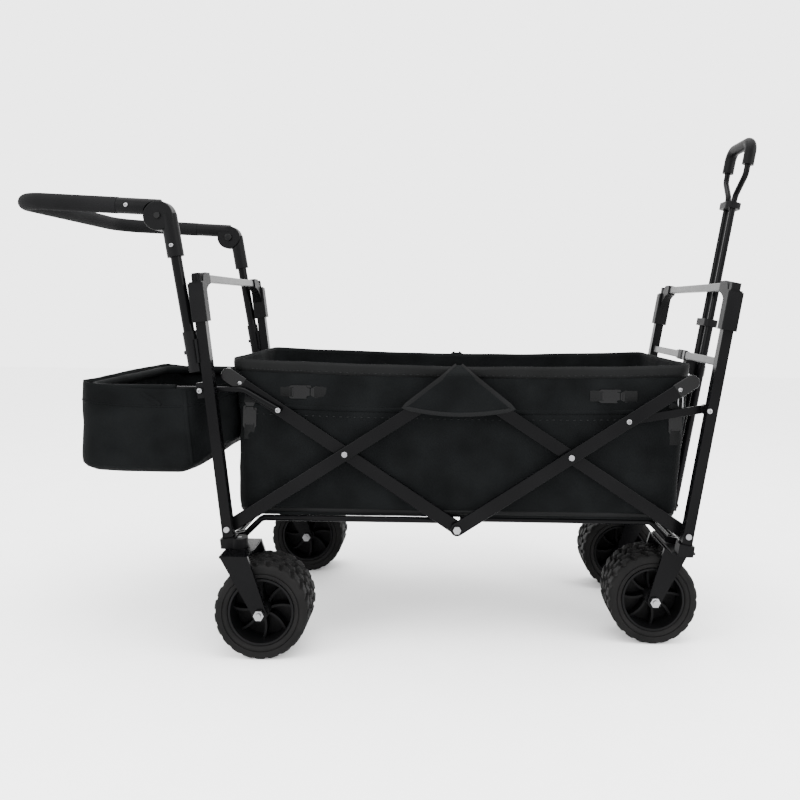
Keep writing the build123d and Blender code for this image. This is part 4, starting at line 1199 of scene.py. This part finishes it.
@dataclass
class Hardware:
    """Small screws and bolt heads on caps, links and sleeves."""

    layout: Layout
    rear_link_end: float = 0.157
    front_link_end: float = 0.133
    elbow_in: float = 0.017
    grip_rise: float = 0.04
    sleeve_reach: float = 0.062
    cap_screw_in: float = 0.014

    def build(self) -> list[Piece]:
        """Make every screw.

        Returns:
            The screw pieces.
        """
        made = []
        top = self.layout.low_rear.z + 2 * (self.layout.pivot("rear_cross").z - self.layout.low_rear.z)
        spots = self.pivot_heads() + self.sleeve_heads()
        for node, body, x in (
            ("rear_top_caps", "rear_down", self.layout.low_rear.x),
            ("front_top_caps", "front_up", self.layout.low_front.x),
        ):
            middle = Vector((self.layout.middle, 0, self.layout.low_rear.z))
            inward = (middle - Vector((x, 0, top))).normalized() * self.cap_screw_in
            place = Vector((x + inward.x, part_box(node)[1].y, top + inward.z))
            spots.append((f"{node}_screw", body, place, 0.0046))
        for side in Side:
            out = Vector((0, side.value, 0))
            for name, body, at, radius in spots:
                place = Vector((at.x, side.value * (at.y + 0.0001), at.z))
                made.append(PanScrew(f"{name}_{side.name.lower()}", body, place, out, radius).build())
        return made

    def pivot_heads(self) -> list[Spot]:
        """Bolt heads at the links' ends and pivots, on their outer faces.

        Returns:
            Name, body, place on the left side and radius, for each.
        """
        rear, front = self.layout.pivot("rear_cross"), self.layout.pivot("top_middle") * 2
        front = Vector((front.x - rear.x, rear.y, rear.z))
        along = (rear - self.layout.low_rear).normalized()
        bag_end = rear + Vector((-along.x, 0, along.z)) * self.rear_link_end
        link_end = front + along * self.front_link_end
        tube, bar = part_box("bag_tube")[1].y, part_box("front_up_bars")[1].y
        bracket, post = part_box("rear_post_fittings")[1].y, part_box("front_posts")[1].y
        bag, link = self.layout.bag_pivot, self.layout.pivot("front_link_pivot")
        return [
            ("bag_link_bolt", "bag_frame", Vector((bag_end.x, tube, bag_end.z)), 0.0054),
            ("front_link_bolt", "front_up", Vector((link_end.x, bar, link_end.z)), 0.0054),
            ("bag_pivot_bolt", "rear_frame", Vector((bag.x, bracket, bag.z)), 0.0052),
            ("front_post_bolt", "front_frame", Vector((link.x, post, link.z)), 0.0052),
        ]

    def sleeve_heads(self) -> list[Spot]:
        """Screws that hold the elbows' sleeves on their tubes.

        Returns:
            Name, body, place on the left side and radius, for each.
        """
        hinge = self.layout.pivot("push_grip_fold")
        up = Vector(self.layout.joints["push_handle_lift"]["axis"])
        back = Vector((-up.z, 0, up.x))
        arm = Vector((-1, 0, self.grip_rise)).normalized()
        over = Vector((arm.z, 0, -arm.x))
        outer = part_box("elbow_lower_halves")[1].y
        lower = hinge - back * self.elbow_in - up * self.sleeve_reach
        upper = hinge + over * self.elbow_in + arm * self.sleeve_reach
        spots = []
        for name, body, at in (("lower", "push_handle", lower), ("upper", "push_grip", upper)):
            spots.append((f"elbow_{name}_screw", body, Vector((at.x, outer, at.z)), 0.0042))
        return spots


# ---- finishes on the solids
@dataclass
class SolidFinishes:
    """Puts a finish on every solid that stays in view."""

    nodes: dict[str, Piece]

    def dress(self) -> int:
        """Give each solid its finish.

        Returns:
            How many solids were dressed.
        """
        done = 0
        for finish, names in NODE_FINISHES.items():
            for name in names.split():
                for material_slot in self.nodes[name].material_slots:
                    material_slot.material = finish.build()
                done += 1
        return done


# ---- studio
@dataclass
class Studio:
    """Pale floor, soft lights and the camera."""

    origin_x: float
    sensor: float = 36.0
    lens: float = 35.25345
    shift: tuple[float, float] = (-0.0526375, -0.1325875)
    place: tuple[float, float, float] = (-0.02307, -1.77277, 0.67161)
    turn: float = 0.456
    tilt: float = 0.819
    roll: float = 0.773

    def build(self) -> None:
        """Make the floor, the lights, the world and the camera."""
        self.floor()
        self.lights()
        self.camera()

    def floor(self) -> None:
        """Make the floor."""
        draft = Draft()
        rows = [[Vector((x * 6.0, y * 6.0, 0)) for x in (-1, 0, 1)] for y in (-1, 0, 1)]
        draft.skin(rows, around=False)
        pale = Finish("studio_floor", (0.90, 0.90, 0.90), (0.92, 0.92, 0.92), (0.8, 0.9), grain_depth=0.0)
        obj = draft.piece("studio_floor", pale)

    def lights(self) -> None:
        """Make soft boxes over and beside the wagon, and an even pale surround."""
        world = bpy.data.worlds.new("studio_world")
        world.use_nodes = True
        back = world.node_tree.nodes["Background"]
        back.inputs["Color"].default_value = (1.0, 1.0, 1.0, 1.0)
        back.inputs["Strength"].default_value = 3.8
        bpy.context.scene.world = world
        for name, place, size, power in (
            ("top_box", (0.2, -0.3, 2.6), 2.2, 90.0),
            ("left_box", (-2.2, -1.8, 1.8), 1.4, 70.0),
            ("right_box", (2.4, -1.2, 1.5), 1.2, 45.0),
        ):
            data = bpy.data.lights.new(name, "AREA")
            data.shape, data.size, data.energy = "SQUARE", size, power
            lamp = bpy.data.objects.new(name, data)
            aim = Vector((0.0, 0.0, 0.45)) - Vector(place)
            lamp.matrix_world = Matrix.Translation(place) @ aim.to_track_quat("-Z", "Y").to_matrix().to_4x4()
            bpy.context.scene.collection.objects.link(lamp)

    def camera(self) -> None:
        """Make the camera, from its place, three angles, lens and shift."""
        data = bpy.data.cameras.new("camera")
        data.sensor_width, data.lens = self.sensor, self.lens
        data.shift_x, data.shift_y = self.shift
        a, b, r = (math.radians(v) for v in (self.turn, self.tilt, self.roll))
        right = Vector((math.cos(a), math.sin(a), 0))
        ahead = Vector((-math.sin(a) * math.cos(b), math.cos(a) * math.cos(b), math.sin(b)))
        up = right.cross(ahead)
        right, up = right * math.cos(r) + up * math.sin(r), up * math.cos(r) - right * math.sin(r)
        obj = bpy.data.objects.new("camera", data)
        turn = Matrix((right, up, -ahead)).transposed().to_4x4()
        place = Vector(self.place) + Vector((self.origin_x, 0, 0))
        obj.matrix_world = Matrix.Translation(place) @ turn
        bpy.context.scene.collection.objects.link(obj)
        bpy.context.scene.camera = obj


# ---- everything
def main() -> None:
    """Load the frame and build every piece."""
    logging.basicConfig(level=logging.INFO, format="%(name)s %(message)s")
    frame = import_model()
    layout = Layout(frame)
    Studio(layout.middle).build()
    LOG.info("dressed %d solids", SolidFinishes(frame["nodes"]).dress())
    for end in ("rear", "front"):
        for side in Side:
            name = f"{end}_{side.name.lower()}"
            LOG.info("built %s", Tyre(f"{name}_wheel", f"{name}_tyre").build().name)
    LOG.info("built %s", TubCloth(layout).build().name)
    LOG.info("built %s", MatCloth(layout).build().name)
    LOG.info("built %s", BagCloth(layout).build().name)
    LOG.info("built %d strap pieces", len(StrapSet(layout).build()))
    LOG.info("built %d screws", len(Hardware(layout).build()))


if __name__ == "__main__":
    main()
